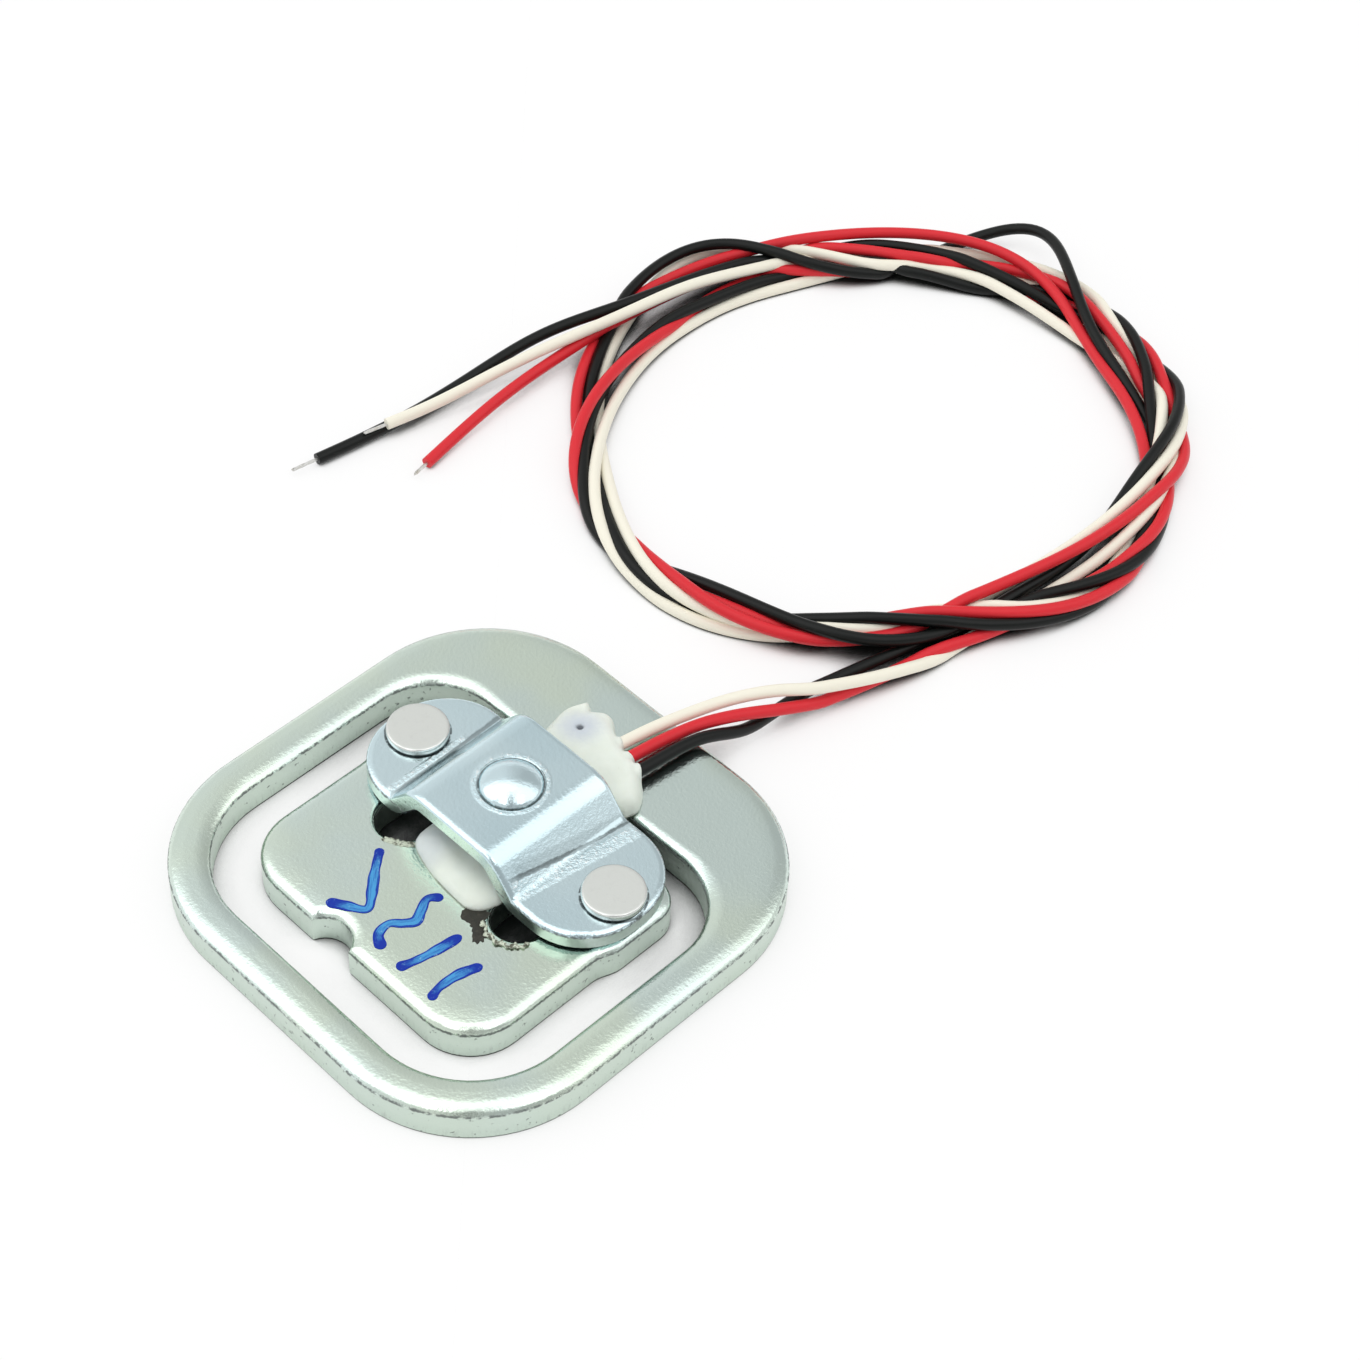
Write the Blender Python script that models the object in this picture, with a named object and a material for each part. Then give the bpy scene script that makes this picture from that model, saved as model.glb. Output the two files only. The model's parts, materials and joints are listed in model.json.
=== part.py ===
"""Half bridge load cell of a body scale: a stamped steel plate with a bending beam,
a riveted load bracket, sealed strain gauges and three loosely coiled wires.

The origin is under the middle of the plate. X runs from the free tongue to the root,
where the wires leave, Y runs along the two rivets, and Z is up. Sizes are in millimetres
until a mesh is made, which is in metres.
"""
import math

import bmesh
import bpy
import numpy as np
from mathutils import Vector
from mathutils.geometry import delaunay_2d_cdt

MM = 0.001

# Clearance between pieces that touch on the real cell
SEAT_GAP = 0.25
FINE_GAP = 0.1

# Sensor plate: an open square frame, a tongue inside it and the beam that joins them
FRAME_SIDE = 34.0
FRAME_CORNER = 10.1
PLATE_THICK = 2.6
BAR_WIDTH = 2.7
ROOT_WIDTH = 7.8
WINDOW_ROOT_CORNER = 5.0
TONGUE_HALF_WIDTH = 11.0
TONGUE_CORNER = 4.0
TONGUE_MARGIN = 3.2
WING_STEP = 0.5
WING_CORNER = 2.0
WING_INNER_CORNER = 0.8
CROSS_SLOT = 2.2
BEAM_HALF_WIDTH = 3.7
BEAM_SLOT_WIDTH = 3.6
BEAM_SLOT_END_X = -1.7
BEAM_FILLET = 0.5
STEP_START_X = -0.5
STEP_END_X = 1.5
NOTCH_Y = 1.7
NOTCH_RADIUS = 1.85
NOTCH_DEPTH = 1.25
EDGE_HEIGHT = 0.4
FRAME_EDGE = 1.1
TONGUE_EDGE = 0.8
SLOT_EDGE = 0.35
UNDER_EDGE = 0.15
EDGE_BLENDS = 10
LONGEST_RUN = 2.5

# Load bracket: a strip across the beam, riveted to the two wings
BRACKET_X = 2.95
BRACKET_WIDTH = 10.0
BRACKET_HALF_LENGTH = 11.45
BRACKET_CORNER = 4.55
BRACKET_THICK = 1.35
BRACKET_RISE = 2.4
BRACKET_MIDDLE_Y = 0.58
BRACKET_FLAT = 2.7
BEND_SLOPE = math.radians(50.0)
OUTER_BEND = 2.2
INNER_BEND = 0.6
BRACKET_EDGE = 0.45
BRACKET_EDGE_HEIGHT = 0.24

# Load button pressed into the middle of the bracket
BUTTON_Y = 0.4
BUTTON_X = BRACKET_X + 0.15
BUTTON_RADIUS = 2.1
BUTTON_HEIGHT = 0.8
BUTTON_GROOVE_WIDTH = 0.2
BUTTON_GROOVE_DEPTH = 0.08
BUTTON_WALL = 0.6

# Rivets
RIVET_SPACING = 18.4
RIVET_SHANK = 1.0
RIVET_HEAD = 2.1
RIVET_HEAD_THICK = 0.6
RIVET_TAIL = 1.35
RIVET_TAIL_DEPTH = 0.6
RIVET_CLEARANCE = 0.3

# Strain gauges on the beam
FILM_START_X = 1.6
FILM_LENGTH = 7.0
FILM_WIDTH = 5.2
FILM_THICK = 0.12
GRID_THICK = 0.08
GRID_LINE = 0.16
GRID_PITCH = 0.4
GRID_LEGS = 6
GRID_LENGTH = 2.0
JOINT_RADIUS = 0.45
JOINT_HEIGHT = 0.5

# Sealant over the beam
SEAL_FRONT_TOP = 3.6
SEAL_MIDDLE_TOP = 4.2
SEAL_EDGE = 1.7
SEAL_GRID = 0.6
SEAL_FRONT_X = -1.2
SEAL_MIDDLE_X = 1.4
SEAL_WALL = 0.5
SEAL_LIP = 0.15
SEAL_STEP = 0.55
CHANNEL_REACH = 2.5
SEAL_OUTLINE = [
    (-2.6, 3.3), (-3.3, 1.5), (-3.6, -0.2), (-3.7, -1.7), (-3.7, -2.7), (-3.2, -3.5),
    (-2.3, -3.9), (-1.4, -4.0), (1.0, -3.5), (5.0, -3.4), (9.1, -4.4), (10.2, -4.2),
    (11.2, -3.5), (12.5, -2.0), (12.8, 1.0), (13.9, 2.2), (14.0, 3.0), (13.4, 3.6),
    (13.9, 4.3), (13.3, 4.7), (12.1, 4.9), (11.1, 4.7), (10.2, 4.8), (8.6, 4.2),
    (5.0, 3.4), (1.0, 3.5), (-1.2, 3.7),
]

# Wires: insulated tubes, bare tinned ends, and the coil that they are laid in
WIRE_DIAMETER = 1.0
CORE_DIAMETER = 0.36
ROUTE_STEP = 1.7
COIL_X = 48.9
COIL_Y = 10.5
COIL_LONG = 22.4
COIL_SHORT = 20.0
COIL_TURNED = math.radians(-45.0)
COIL_HALF_WIDTH = 3.3
COIL_FLOOR = 0.05
COIL_TOP = 3.4
WIRE_SEAT = 0.075

# Routes of the wires from the sealed joints to the coil, and from the coil to the ends
LEADS = {
    "white": [(10.3, 0.3, 3.4), (12.1, 0.0, 3.4), (15.1, -0.5, 3.3), (18.0, -1.2, 3.2),
              (20.8, -2.1, 3.1), (23.4, -3.4, 3.0), (26.0, -5.0, 2.6), (28.7, -6.2, 2.1),
              (32.8, -7.4, 1.3)],
    "red": [(10.3, -1.0, 3.4), (12.0, -1.3, 3.4), (14.9, -1.7, 3.3), (17.8, -2.3, 3.1),
            (20.6, -3.3, 2.7), (23.4, -4.5, 2.1), (26.3, -5.4, 1.3), (29.1, -5.9, 0.7),
            (31.6, -6.3, 0.6)],
    "black": [(10.3, -2.3, 3.4), (12.1, -2.6, 3.4), (15.0, -2.9, 3.35), (17.1, -3.2, 3.05),
              (19.0, -3.6, 2.3), (21.0, -3.8, 1.5), (24.0, -3.7, 1.0), (26.8, -4.1, 1.2),
              (30.4, -5.1, 1.4)],
}
TAILS = {
    "white": [(34.8, 32.7, 2.3), (33.3, 33.0, 2.1), (30.4, 33.7, 1.8), (27.6, 34.4, 1.7),
              (23.5, 35.2, 1.7)],
    "red": [(33.0, 31.7, 1.4), (30.0, 31.5, 1.2), (27.1, 31.2, 0.9), (22.6, 30.5, 0.6)],
    "black": [(37.7, 34.2, 2.1), (36.0, 34.4, 1.8), (33.1, 34.8, 1.2), (30.2, 35.0, 0.7),
              (27.2, 35.1, 0.6), (24.1, 35.2, 0.6), (21.2, 35.5, 0.6), (17.0, 36.2, 0.6)],
}
TIP_LENGTH = {"white": 2.2, "red": 1.3, "black": 2.2}
WIRE_COLOURS = {
    "white": (0.90, 0.86, 0.70),
    "red": (0.80, 0.03, 0.04),
    "black": (0.012, 0.016, 0.014),
}

# Levels and lengths that follow from the values above
HALF_SIDE = FRAME_SIDE / 2
WINDOW_NEAR_X = BAR_WIDTH - HALF_SIDE
WINDOW_FAR_X = HALF_SIDE - ROOT_WIDTH
WINDOW_HALF_Y = HALF_SIDE - BAR_WIDTH
WINDOW_CORNER = FRAME_CORNER - BAR_WIDTH
TONGUE_NEAR_X = WINDOW_NEAR_X + TONGUE_MARGIN
WING_HALF_WIDTH = TONGUE_HALF_WIDTH + WING_STEP
WING_END_X = WINDOW_FAR_X - CROSS_SLOT
SLOT_OUTER_Y = BEAM_HALF_WIDTH + BEAM_SLOT_WIDTH
RIVET_Y = RIVET_SPACING / 2
RIVET_HOLE = RIVET_SHANK + RIVET_CLEARANCE
LOBE_UNDER = PLATE_THICK + SEAT_GAP
LOBE_TOP = LOBE_UNDER + BRACKET_THICK
RAISED_TOP = LOBE_TOP + BRACKET_RISE
FILM_UNDER = PLATE_THICK + SEAT_GAP
FILM_TOP = FILM_UNDER + FILM_THICK
GRID_UNDER = FILM_TOP + FINE_GAP
JOINT_X = FILM_START_X + FILM_LENGTH - 2 * JOINT_RADIUS
SEAL_UNDER = PLATE_THICK + FINE_GAP
SEAL_ROOF = SEAL_MIDDLE_TOP - SEAL_WALL
WIRE_RADIUS = WIRE_DIAMETER / 2
CORE_RADIUS = CORE_DIAMETER / 2


def clear_scene():
    for found in list(bpy.data.objects):
        bpy.data.objects.remove(found, do_unlink=True)


def material(name, colour, roughness, metallic=0.0):
    made = bpy.data.materials.new(name)
    made.use_nodes = True
    shader = made.node_tree.nodes["Principled BSDF"]
    shader.inputs["Base Color"].default_value = (*colour, 1.0)
    shader.inputs["Roughness"].default_value = roughness
    shader.inputs["Metallic"].default_value = metallic
    return made


def place(name, data, x=0.0, y=0.0):
    """Put a mesh or a curve into the scene as a named object."""
    made = bpy.data.objects.new(name, data)
    made.location = (x * MM, y * MM, 0.0)
    bpy.context.scene.collection.objects.link(made)
    return made


def finished_mesh(name, bm, finish_material, sharp_angle=35.0):
    """Turn a bmesh in millimetres into a mesh in metres."""
    bmesh.ops.recalc_face_normals(bm, faces=bm.faces)
    bmesh.ops.scale(bm, vec=(MM, MM, MM), verts=bm.verts)
    mesh = bpy.data.meshes.new(name)
    bm.to_mesh(mesh)
    bm.free()
    mesh.materials.append(finish_material)
    mesh.shade_smooth()
    mesh.set_sharp_from_angle(angle=math.radians(sharp_angle))
    return mesh


def finish(name, bm, finish_material, sharp_angle=35.0):
    """Turn a bmesh in millimetres into a named object in its place."""
    return place(name, finished_mesh(name, bm, finish_material, sharp_angle))


def hide_tool(tool):
    tool.hide_render = True
    tool.display_type = "WIRE"


def boolean(target, tool, operation):
    hide_tool(tool)
    step = target.modifiers.new(f"{operation.lower()}_{tool.name}", "BOOLEAN")
    step.operation = operation
    step.solver = "EXACT"
    step.object = tool


def arc(x, y, radius, start, end, steps):
    """Points on an arc, from the start to the end angle in degrees, both included."""
    turns = np.radians(np.linspace(start, end, steps + 1))
    return [(x + radius * math.cos(t), y + radius * math.sin(t)) for t in turns]


def even_outline(points, step):
    """Add points along the straight runs of a closed outline, so that none is longer."""
    dense = []
    for here, after in zip(points, points[1:] + points[:1]):
        parts = max(1, round(math.dist(here, after) / step))
        for k in range(parts):
            share = k / parts
            dense.append(tuple(a + (b - a) * share for a, b in zip(here, after)))
    return dense


def with_width(points, width):
    """Give each point of an outline the width of the rolled edge there."""
    return [(x, y, width) for x, y in points]


def inset_outline(outline, widths):
    """Move each point to the left of its outline by its own width."""
    loop = np.array(outline)[:, :2]
    before = loop - np.roll(loop, 1, axis=0)
    after = np.roll(loop, -1, axis=0) - loop
    before /= np.linalg.norm(before, axis=1)[:, None]
    after /= np.linalg.norm(after, axis=1)[:, None]
    along = before + after
    along /= np.linalg.norm(along, axis=1)[:, None]
    left = np.stack([-along[:, 1], along[:, 0]], axis=1)
    stretch = np.clip((along * after).sum(axis=1), 0.5, 1.0)
    return loop + left * (np.asarray(widths) / stretch)[:, None]


def inside_outline(points, outline):
    """True for each point that lies inside a closed outline."""
    x, y = points[:, :1], points[:, 1:]
    x0, y0 = outline[:, 0][None], outline[:, 1][None]
    x1, y1 = np.roll(x0, -1, axis=1), np.roll(y0, -1, axis=1)
    spans = (y0 > y) != (y1 > y)
    rise = np.where(y1 == y0, 1.0, y1 - y0)
    crossing = x0 + (y - y0) / rise * (x1 - x0)
    return (np.logical_and(spans, x < crossing).sum(axis=1) % 2) == 1


def cap(bm, loops):
    """Fill a flat face between its outer loop, which comes first, and its holes."""
    verts = [v for loop in loops for v in loop]
    edges = []
    first = 0
    for loop in loops:
        edges += [(first + k, first + (k + 1) % len(loop)) for k in range(len(loop))]
        first += len(loop)
    plan = [Vector((v.co.x, v.co.y)) for v in verts]
    filled = delaunay_2d_cdt(plan, edges, [], 0, 1e-7)
    source = [origin[0] for origin in filled[3]]
    corners = np.array([(v.co.x, v.co.y) for v in verts])
    triangles = np.array([[source[k] for k in face] for face in filled[2]])
    middles = corners[triangles].mean(axis=1)
    outlines = [np.array([(v.co.x, v.co.y) for v in loop]) for loop in loops]
    kept = inside_outline(middles, outlines[0])
    for hole in outlines[1:]:
        kept &= ~inside_outline(middles, hole)
    for triangle in triangles[kept]:
        bm.faces.new([verts[k] for k in triangle])


def stamped_sheet(outlines, holes, thickness, edge_height, under_edge):
    """Stamped sheet whose upper edges are rolled over by the punch.

    outlines hold (x, y, edge width) with the metal on their left; holes are
    (x, y, upper radius, lower radius, depth of the lower cone).
    """
    roll = [(0.0, -1.0), (0.12, -0.55), (0.35, -0.25), (0.7, -0.06), (1.0, 0.0)]
    bm = bmesh.new()
    upper_loops = []
    lower_loops = []

    def ring(points, z):
        return [bm.verts.new((x, y, z)) for x, y in points]

    def close(low, high):
        for k in range(len(low)):
            j = (k + 1) % len(low)
            bm.faces.new((low[k], low[j], high[j], high[k]))

    for outline in outlines:
        widths = np.array([width for x, y, width in outline])
        under = ring(inset_outline(outline, np.full(len(outline), under_edge)), 0.0)
        low = ring([(x, y) for x, y, width in outline], under_edge)
        close(under, low)
        lower_loops.append(under)
        for share, drop in roll:
            level = thickness + drop * edge_height
            high = ring(inset_outline(outline, widths * share), level)
            close(low, high)
            low = high
        upper_loops.append(low)
    for x, y, upper, lower, depth in holes:
        steps = 32
        top = ring(arc(x, y, upper, 0, -360, steps)[:-1], thickness)
        waist = ring(arc(x, y, upper, 0, -360, steps)[:-1], depth)
        foot = ring(arc(x, y, lower, 0, -360, steps)[:-1], 0.0)
        close(foot, waist)
        close(waist, top)
        lower_loops.append(foot)
        upper_loops.append(top)
    cap(bm, upper_loops)
    cap(bm, lower_loops)
    return bm


def lathe(profile, x=0.0, y=0.0, steps=48):
    """Solid of revolution about a vertical axis, from (radius, z) points, ends on it."""
    bm = bmesh.new()
    rings = []
    for radius, z in profile:
        if radius == 0.0:
            rings.append([bm.verts.new((x, y, z))])
            continue
        circle = arc(x, y, radius, 0, 360, steps)[:-1]
        rings.append([bm.verts.new((px, py, z)) for px, py in circle])
    for low, high in zip(rings, rings[1:]):
        for k in range(steps):
            j = (k + 1) % steps
            corners = [low[k % len(low)], low[j % len(low)]]
            corners += [high[j % len(high)], high[k % len(high)]]
            corners = list(dict.fromkeys(corners))
            bm.faces.new(corners)
    return bm


def smooth_route(points, step):
    """Evenly spaced points on a smooth curve through the given ones."""
    given = np.array(points, dtype=float)
    first = 2 * given[0] - given[1]
    last = 2 * given[-1] - given[-2]
    given = np.vstack([first, given, last])
    pieces = []
    for p0, p1, p2, p3 in zip(given, given[1:], given[2:], given[3:]):
        t = np.linspace(0, 1, 16, endpoint=False)[:, None]
        slope_in = (p2 - p0) / 2
        slope_out = (p3 - p1) / 2
        pieces.append((2 * t**3 - 3 * t**2 + 1) * p1 + (t**3 - 2 * t**2 + t) * slope_in
                      + (3 * t**2 - 2 * t**3) * p2 + (t**3 - t**2) * slope_out)
    curve = np.vstack(pieces + [given[-2:-1]])
    along = np.r_[0, np.cumsum(np.linalg.norm(np.diff(curve, axis=0), axis=1))]
    even = np.linspace(0, along[-1], max(2, round(along[-1] / step) + 1))
    return np.stack([np.interp(even, along, curve[:, k]) for k in range(3)], axis=1)


def tube(name, points, radius, tube_material):
    """Round rod along a polyline, as a curve with filled ends."""
    curve = bpy.data.curves.new(name, "CURVE")
    curve.dimensions = "3D"
    curve.bevel_depth = radius * MM
    curve.bevel_resolution = 2
    curve.use_fill_caps = True
    spline = curve.splines.new("POLY")
    spline.points.add(len(points) - 1)
    for point, spot in zip(spline.points, points):
        point.co = (*(float(c) * MM for c in spot), 1.0)
    spline.use_smooth = True
    curve.materials.append(tube_material)
    return place(name, curve)


def rod(path, radius, section=12):
    """Round rod along a few points, as a closed mesh, for cutting a channel."""
    bm = bmesh.new()
    rings = []
    for k, spot in enumerate(path):
        along = (path[min(k + 1, len(path) - 1)] - path[max(k - 1, 0)]).normalized()
        side = along.cross(Vector((0, 0, 1))).normalized()
        up = side.cross(along)
        turns = [2 * math.pi * j / section for j in range(section)]
        rings.append([bm.verts.new(spot + (side * math.cos(t) + up * math.sin(t)) * radius)
                      for t in turns])
    for low, high in zip(rings, rings[1:]):
        for j in range(section):
            i = (j + 1) % section
            bm.faces.new((low[j], low[i], high[i], high[j]))
    bm.faces.new(rings[0][::-1])
    bm.faces.new(rings[-1])
    return bm


def frame_outline():
    """Outside of the plate, anticlockwise, as points with the width of the rolled edge."""
    flat = HALF_SIDE - FRAME_CORNER
    points = []
    for quarter, (sx, sy) in enumerate([(1, 1), (-1, 1), (-1, -1), (1, -1)]):
        start = 90 * quarter
        points += arc(sx * flat, sy * flat, FRAME_CORNER, start, start + 90, 20)
    return even_outline(with_width(points, FRAME_EDGE), LONGEST_RUN)


def tongue_side(sign):
    """One side of the void along the tongue, from the root end to the tip.

    The points are for the side of negative Y, and sign -1 mirrors them.
    """
    slot_middle = (BEAM_HALF_WIDTH + SLOT_OUTER_Y) / 2
    root_x = WINDOW_FAR_X - BEAM_FILLET
    slot = arc(root_x, -BEAM_HALF_WIDTH - BEAM_FILLET, BEAM_FILLET, 0, 90, 4)
    slot += arc(BEAM_SLOT_END_X, -slot_middle, BEAM_SLOT_WIDTH / 2, 90, 270, 16)
    inner_x = WING_END_X - WING_INNER_CORNER
    slot += arc(inner_x, -SLOT_OUTER_Y - WING_INNER_CORNER, WING_INNER_CORNER, 90, 0, 5)
    outer_x = WING_END_X - WING_CORNER
    side = arc(outer_x, -WING_HALF_WIDTH + WING_CORNER, WING_CORNER, 0, -90, 8)
    for share in np.linspace(0, 1, 7):
        ease = share * share * (3 - 2 * share)
        x = STEP_END_X + (STEP_START_X - STEP_END_X) * share
        side.append((x, -WING_HALF_WIDTH + WING_STEP * ease))
    corner_x = TONGUE_NEAR_X + TONGUE_CORNER
    side += arc(corner_x, -TONGUE_HALF_WIDTH + TONGUE_CORNER, TONGUE_CORNER, -90, -180, 12)
    points = with_width(slot, SLOT_EDGE) + with_width(side, TONGUE_EDGE)
    return [(x, y * sign, width) for x, y, width in points]


def notch_outline():
    """Round notch in the tip of the tongue, from its lower to its upper end."""
    centre_x = TONGUE_NEAR_X + NOTCH_DEPTH - NOTCH_RADIUS
    half = math.degrees(math.acos((TONGUE_NEAR_X - centre_x) / NOTCH_RADIUS))
    return with_width(arc(centre_x, NOTCH_Y, NOTCH_RADIUS, -half, half, 12), TONGUE_EDGE)


def void_outline():
    """Edge of the opening round the tongue, with the metal on its left."""
    far = WINDOW_FAR_X - WINDOW_ROOT_CORNER
    high = WINDOW_HALF_Y - WINDOW_ROOT_CORNER
    near = WINDOW_NEAR_X + WINDOW_CORNER
    side = WINDOW_HALF_Y - WINDOW_CORNER
    window = arc(far, high, WINDOW_ROOT_CORNER, 0, 90, 12)
    window += arc(near, side, WINDOW_CORNER, 90, 180, 16)
    window += arc(near, -side, WINDOW_CORNER, 180, 270, 16)
    window += arc(far, -high, WINDOW_ROOT_CORNER, 270, 360, 12)
    tongue = tongue_side(1) + notch_outline() + tongue_side(-1)[::-1]
    return even_outline(with_width(window, FRAME_EDGE) + tongue, LONGEST_RUN)[::-1]


def blended(outline):
    """Smooth the widths of the rolled edge where one kind meets the next."""
    widths = np.array([width for x, y, width in outline])
    for _ in range(EDGE_BLENDS):
        widths = (np.roll(widths, 1) + 2 * widths + np.roll(widths, -1)) / 4
    return [(x, y, float(width)) for (x, y, old), width in zip(outline, widths)]


def make_sensor_plate(steel):
    outlines = [frame_outline(), blended(void_outline())]
    foot = RIVET_TAIL + RIVET_CLEARANCE
    depth = RIVET_TAIL_DEPTH + UNDER_EDGE
    holes = [(BRACKET_X, y, RIVET_HOLE, foot, depth) for y in (RIVET_Y, -RIVET_Y)]
    bm = stamped_sheet(outlines, holes, PLATE_THICK, EDGE_HEIGHT, UNDER_EDGE)
    return finish("sensor_plate", bm, steel, 25.0)


def bend_lengths():
    """Developed lengths where the bracket changes form, from its middle outwards."""
    outer_arc = OUTER_BEND * BEND_SLOPE
    inner_arc = INNER_BEND * BEND_SLOPE
    arcs_rise = (OUTER_BEND + INNER_BEND) * (1 - math.cos(BEND_SLOPE))
    slope = (BRACKET_RISE - arcs_rise) / math.sin(BEND_SLOPE)
    edges = np.cumsum([BRACKET_FLAT, outer_arc, slope, inner_arc])
    return [float(e) for e in edges]


def upper_face(length):
    """Distance from the middle, height below the raised top, and slope, at a length."""
    flat, outer_end, slope_end, inner_end = bend_lengths()
    run = min(length, flat)
    drop = 0.0
    turned = 0.0
    if length > flat:
        turned = min(length - flat, outer_end - flat) / OUTER_BEND
        run += OUTER_BEND * math.sin(turned)
        drop += OUTER_BEND * (1 - math.cos(turned))
    if length > outer_end:
        straight = min(length, slope_end) - outer_end
        run += straight * math.cos(BEND_SLOPE)
        drop += straight * math.sin(BEND_SLOPE)
    if length > slope_end:
        back = min(length, inner_end) - slope_end
        turned = BEND_SLOPE - back / INNER_BEND
        run += INNER_BEND * (math.sin(BEND_SLOPE) - math.sin(turned))
        drop += INNER_BEND * (math.cos(turned) - math.cos(BEND_SLOPE))
    run += max(length - inner_end, 0.0)
    return run, drop, turned


def flat_length(run):
    """Developed length that ends on a lobe at the given distance from the middle."""
    inner_end = bend_lengths()[3]
    return inner_end + run - upper_face(inner_end)[0]


def bend_bracket(bm):
    """Bend the flat strip, made with its length from the middle along Y."""
    flat, outer_end, slope_end, inner_end = bend_lengths()
    stations = list(np.linspace(flat, outer_end, 7)) + list(np.linspace(slope_end, inner_end, 5))
    for side in (1, -1):
        for station in stations:
            everything = bm.verts[:] + bm.edges[:] + bm.faces[:]
            place = (0.0, side * station, 0.0)
            bmesh.ops.bisect_plane(bm, geom=everything, dist=1e-5, plane_co=place, plane_no=(0, 1, 0))
    for vert in bm.verts:
        side = math.copysign(1.0, vert.co.y)
        run, drop, turned = upper_face(abs(vert.co.y))
        below = BRACKET_THICK - vert.co.z
        y = side * (run - below * math.sin(turned))
        z = RAISED_TOP - drop - below * math.cos(turned)
        vert.co = (vert.co.x, BRACKET_MIDDLE_Y + y, z)
    bmesh.ops.triangulate(bm, faces=bm.faces)


def bracket_outline():
    """Flat pattern of the bracket, with its developed length along Y and its edge widths."""
    left = -flat_length(BRACKET_HALF_LENGTH + BRACKET_MIDDLE_Y)
    right = flat_length(BRACKET_HALF_LENGTH - BRACKET_MIDDLE_Y)
    half = BRACKET_WIDTH / 2 - BRACKET_CORNER
    points = arc(BRACKET_X + half, right - BRACKET_CORNER, BRACKET_CORNER, 0, 90, 14)
    points += arc(BRACKET_X - half, right - BRACKET_CORNER, BRACKET_CORNER, 90, 180, 14)
    points += arc(BRACKET_X - half, left + BRACKET_CORNER, BRACKET_CORNER, 180, 270, 14)
    points += arc(BRACKET_X + half, left + BRACKET_CORNER, BRACKET_CORNER, 270, 360, 14)
    return even_outline(with_width(points, BRACKET_EDGE), LONGEST_RUN)


def button_profile(radius, height, base, steps=8):
    """Profile of a dome that stands on a short disc reaching down to the base."""
    sphere = (radius**2 + height**2) / (2 * height)
    reach = math.asin(radius / sphere)
    profile = [(0.0, base), (radius, base)]
    for k in range(steps, 0, -1):
        angle = reach * k / steps
        profile.append((sphere * math.sin(angle), sphere * math.cos(angle) - sphere + height))
    profile.append((0.0, height))
    return profile


def make_load_bracket(steel):
    right = flat_length(RIVET_Y - BRACKET_MIDDLE_Y)
    left = -flat_length(RIVET_Y + BRACKET_MIDDLE_Y)
    holes = [(BRACKET_X, y, RIVET_HOLE, RIVET_HOLE, UNDER_EDGE) for y in (right, left)]
    bm = stamped_sheet([bracket_outline()], holes, BRACKET_THICK, BRACKET_EDGE_HEIGHT, UNDER_EDGE)
    bend_bracket(bm)
    bracket = finish("load_bracket", bm, steel, 25.0)

    def lifted(profile, level):
        return [(radius, z + level) for radius, z in profile]

    groove_floor = BUTTON_RADIUS + BUTTON_GROOVE_WIDTH / 2
    groove_mouth = BUTTON_RADIUS + BUTTON_GROOVE_WIDTH
    groove = [
        (0.0, -BUTTON_GROOVE_DEPTH), (groove_floor, -BUTTON_GROOVE_DEPTH),
        (groove_mouth, BUTTON_GROOVE_DEPTH), (0.0, BUTTON_GROOVE_DEPTH),
    ]
    groove_tool = finish("button_groove_tool", lathe(lifted(groove, RAISED_TOP), BUTTON_X, BUTTON_Y), steel)
    boolean(bracket, groove_tool, "DIFFERENCE")
    dome = button_profile(BUTTON_RADIUS, BUTTON_HEIGHT, -BRACKET_THICK / 2)
    dome_tool = finish("button_dome_tool", lathe(lifted(dome, RAISED_TOP), BUTTON_X, BUTTON_Y), steel)
    boolean(bracket, dome_tool, "UNION")
    hollow = button_profile(BUTTON_RADIUS - BUTTON_WALL, BUTTON_HEIGHT, -BUTTON_WALL)
    under = RAISED_TOP - BRACKET_THICK
    hollow_tool = finish("button_hollow_tool", lathe(lifted(hollow, under), BUTTON_X, BUTTON_Y), steel)
    boolean(bracket, hollow_tool, "DIFFERENCE")
    return bracket


def make_rivets(metal):
    head_under = LOBE_TOP + SEAT_GAP
    head_top = head_under + RIVET_HEAD_THICK
    round_over = RIVET_HEAD_THICK * 0.25
    tail_under = UNDER_EDGE / 2
    profile = [
        (0.0, tail_under), (RIVET_TAIL, tail_under), (RIVET_SHANK, tail_under + RIVET_TAIL_DEPTH),
        (RIVET_SHANK, head_under), (RIVET_HEAD, head_under), (RIVET_HEAD, head_top - round_over),
        (RIVET_HEAD - round_over * 0.3, head_top - round_over * 0.3),
        (RIVET_HEAD - round_over, head_top), (0.0, head_top),
    ]
    mesh = finished_mesh("rivet", lathe(profile), metal, 30.0)
    place("rivet_left", mesh, BRACKET_X, RIVET_Y)
    place("rivet_right", mesh, BRACKET_X, -RIVET_Y)


def extruded(points, under, top):
    """Straight prism on a closed outline."""
    bm = bmesh.new()
    low = [bm.verts.new((x, y, under)) for x, y in points]
    face = bm.faces.new(low)
    grown = bmesh.ops.extrude_face_region(bm, geom=[face])
    moved = [v for v in grown["geom"] if isinstance(v, bmesh.types.BMVert)]
    bmesh.ops.translate(bm, vec=(0, 0, top - under), verts=moved)
    bmesh.ops.triangulate(bm, faces=bm.faces)
    return bm


def rounded_rectangle(x0, x1, y0, y1, radius):
    points = arc(x1 - radius, y1 - radius, radius, 0, 90, 5)
    points += arc(x0 + radius, y1 - radius, radius, 90, 180, 5)
    points += arc(x0 + radius, y0 + radius, radius, 180, 270, 5)
    points += arc(x1 - radius, y0 + radius, radius, 270, 360, 5)
    return points


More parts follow.
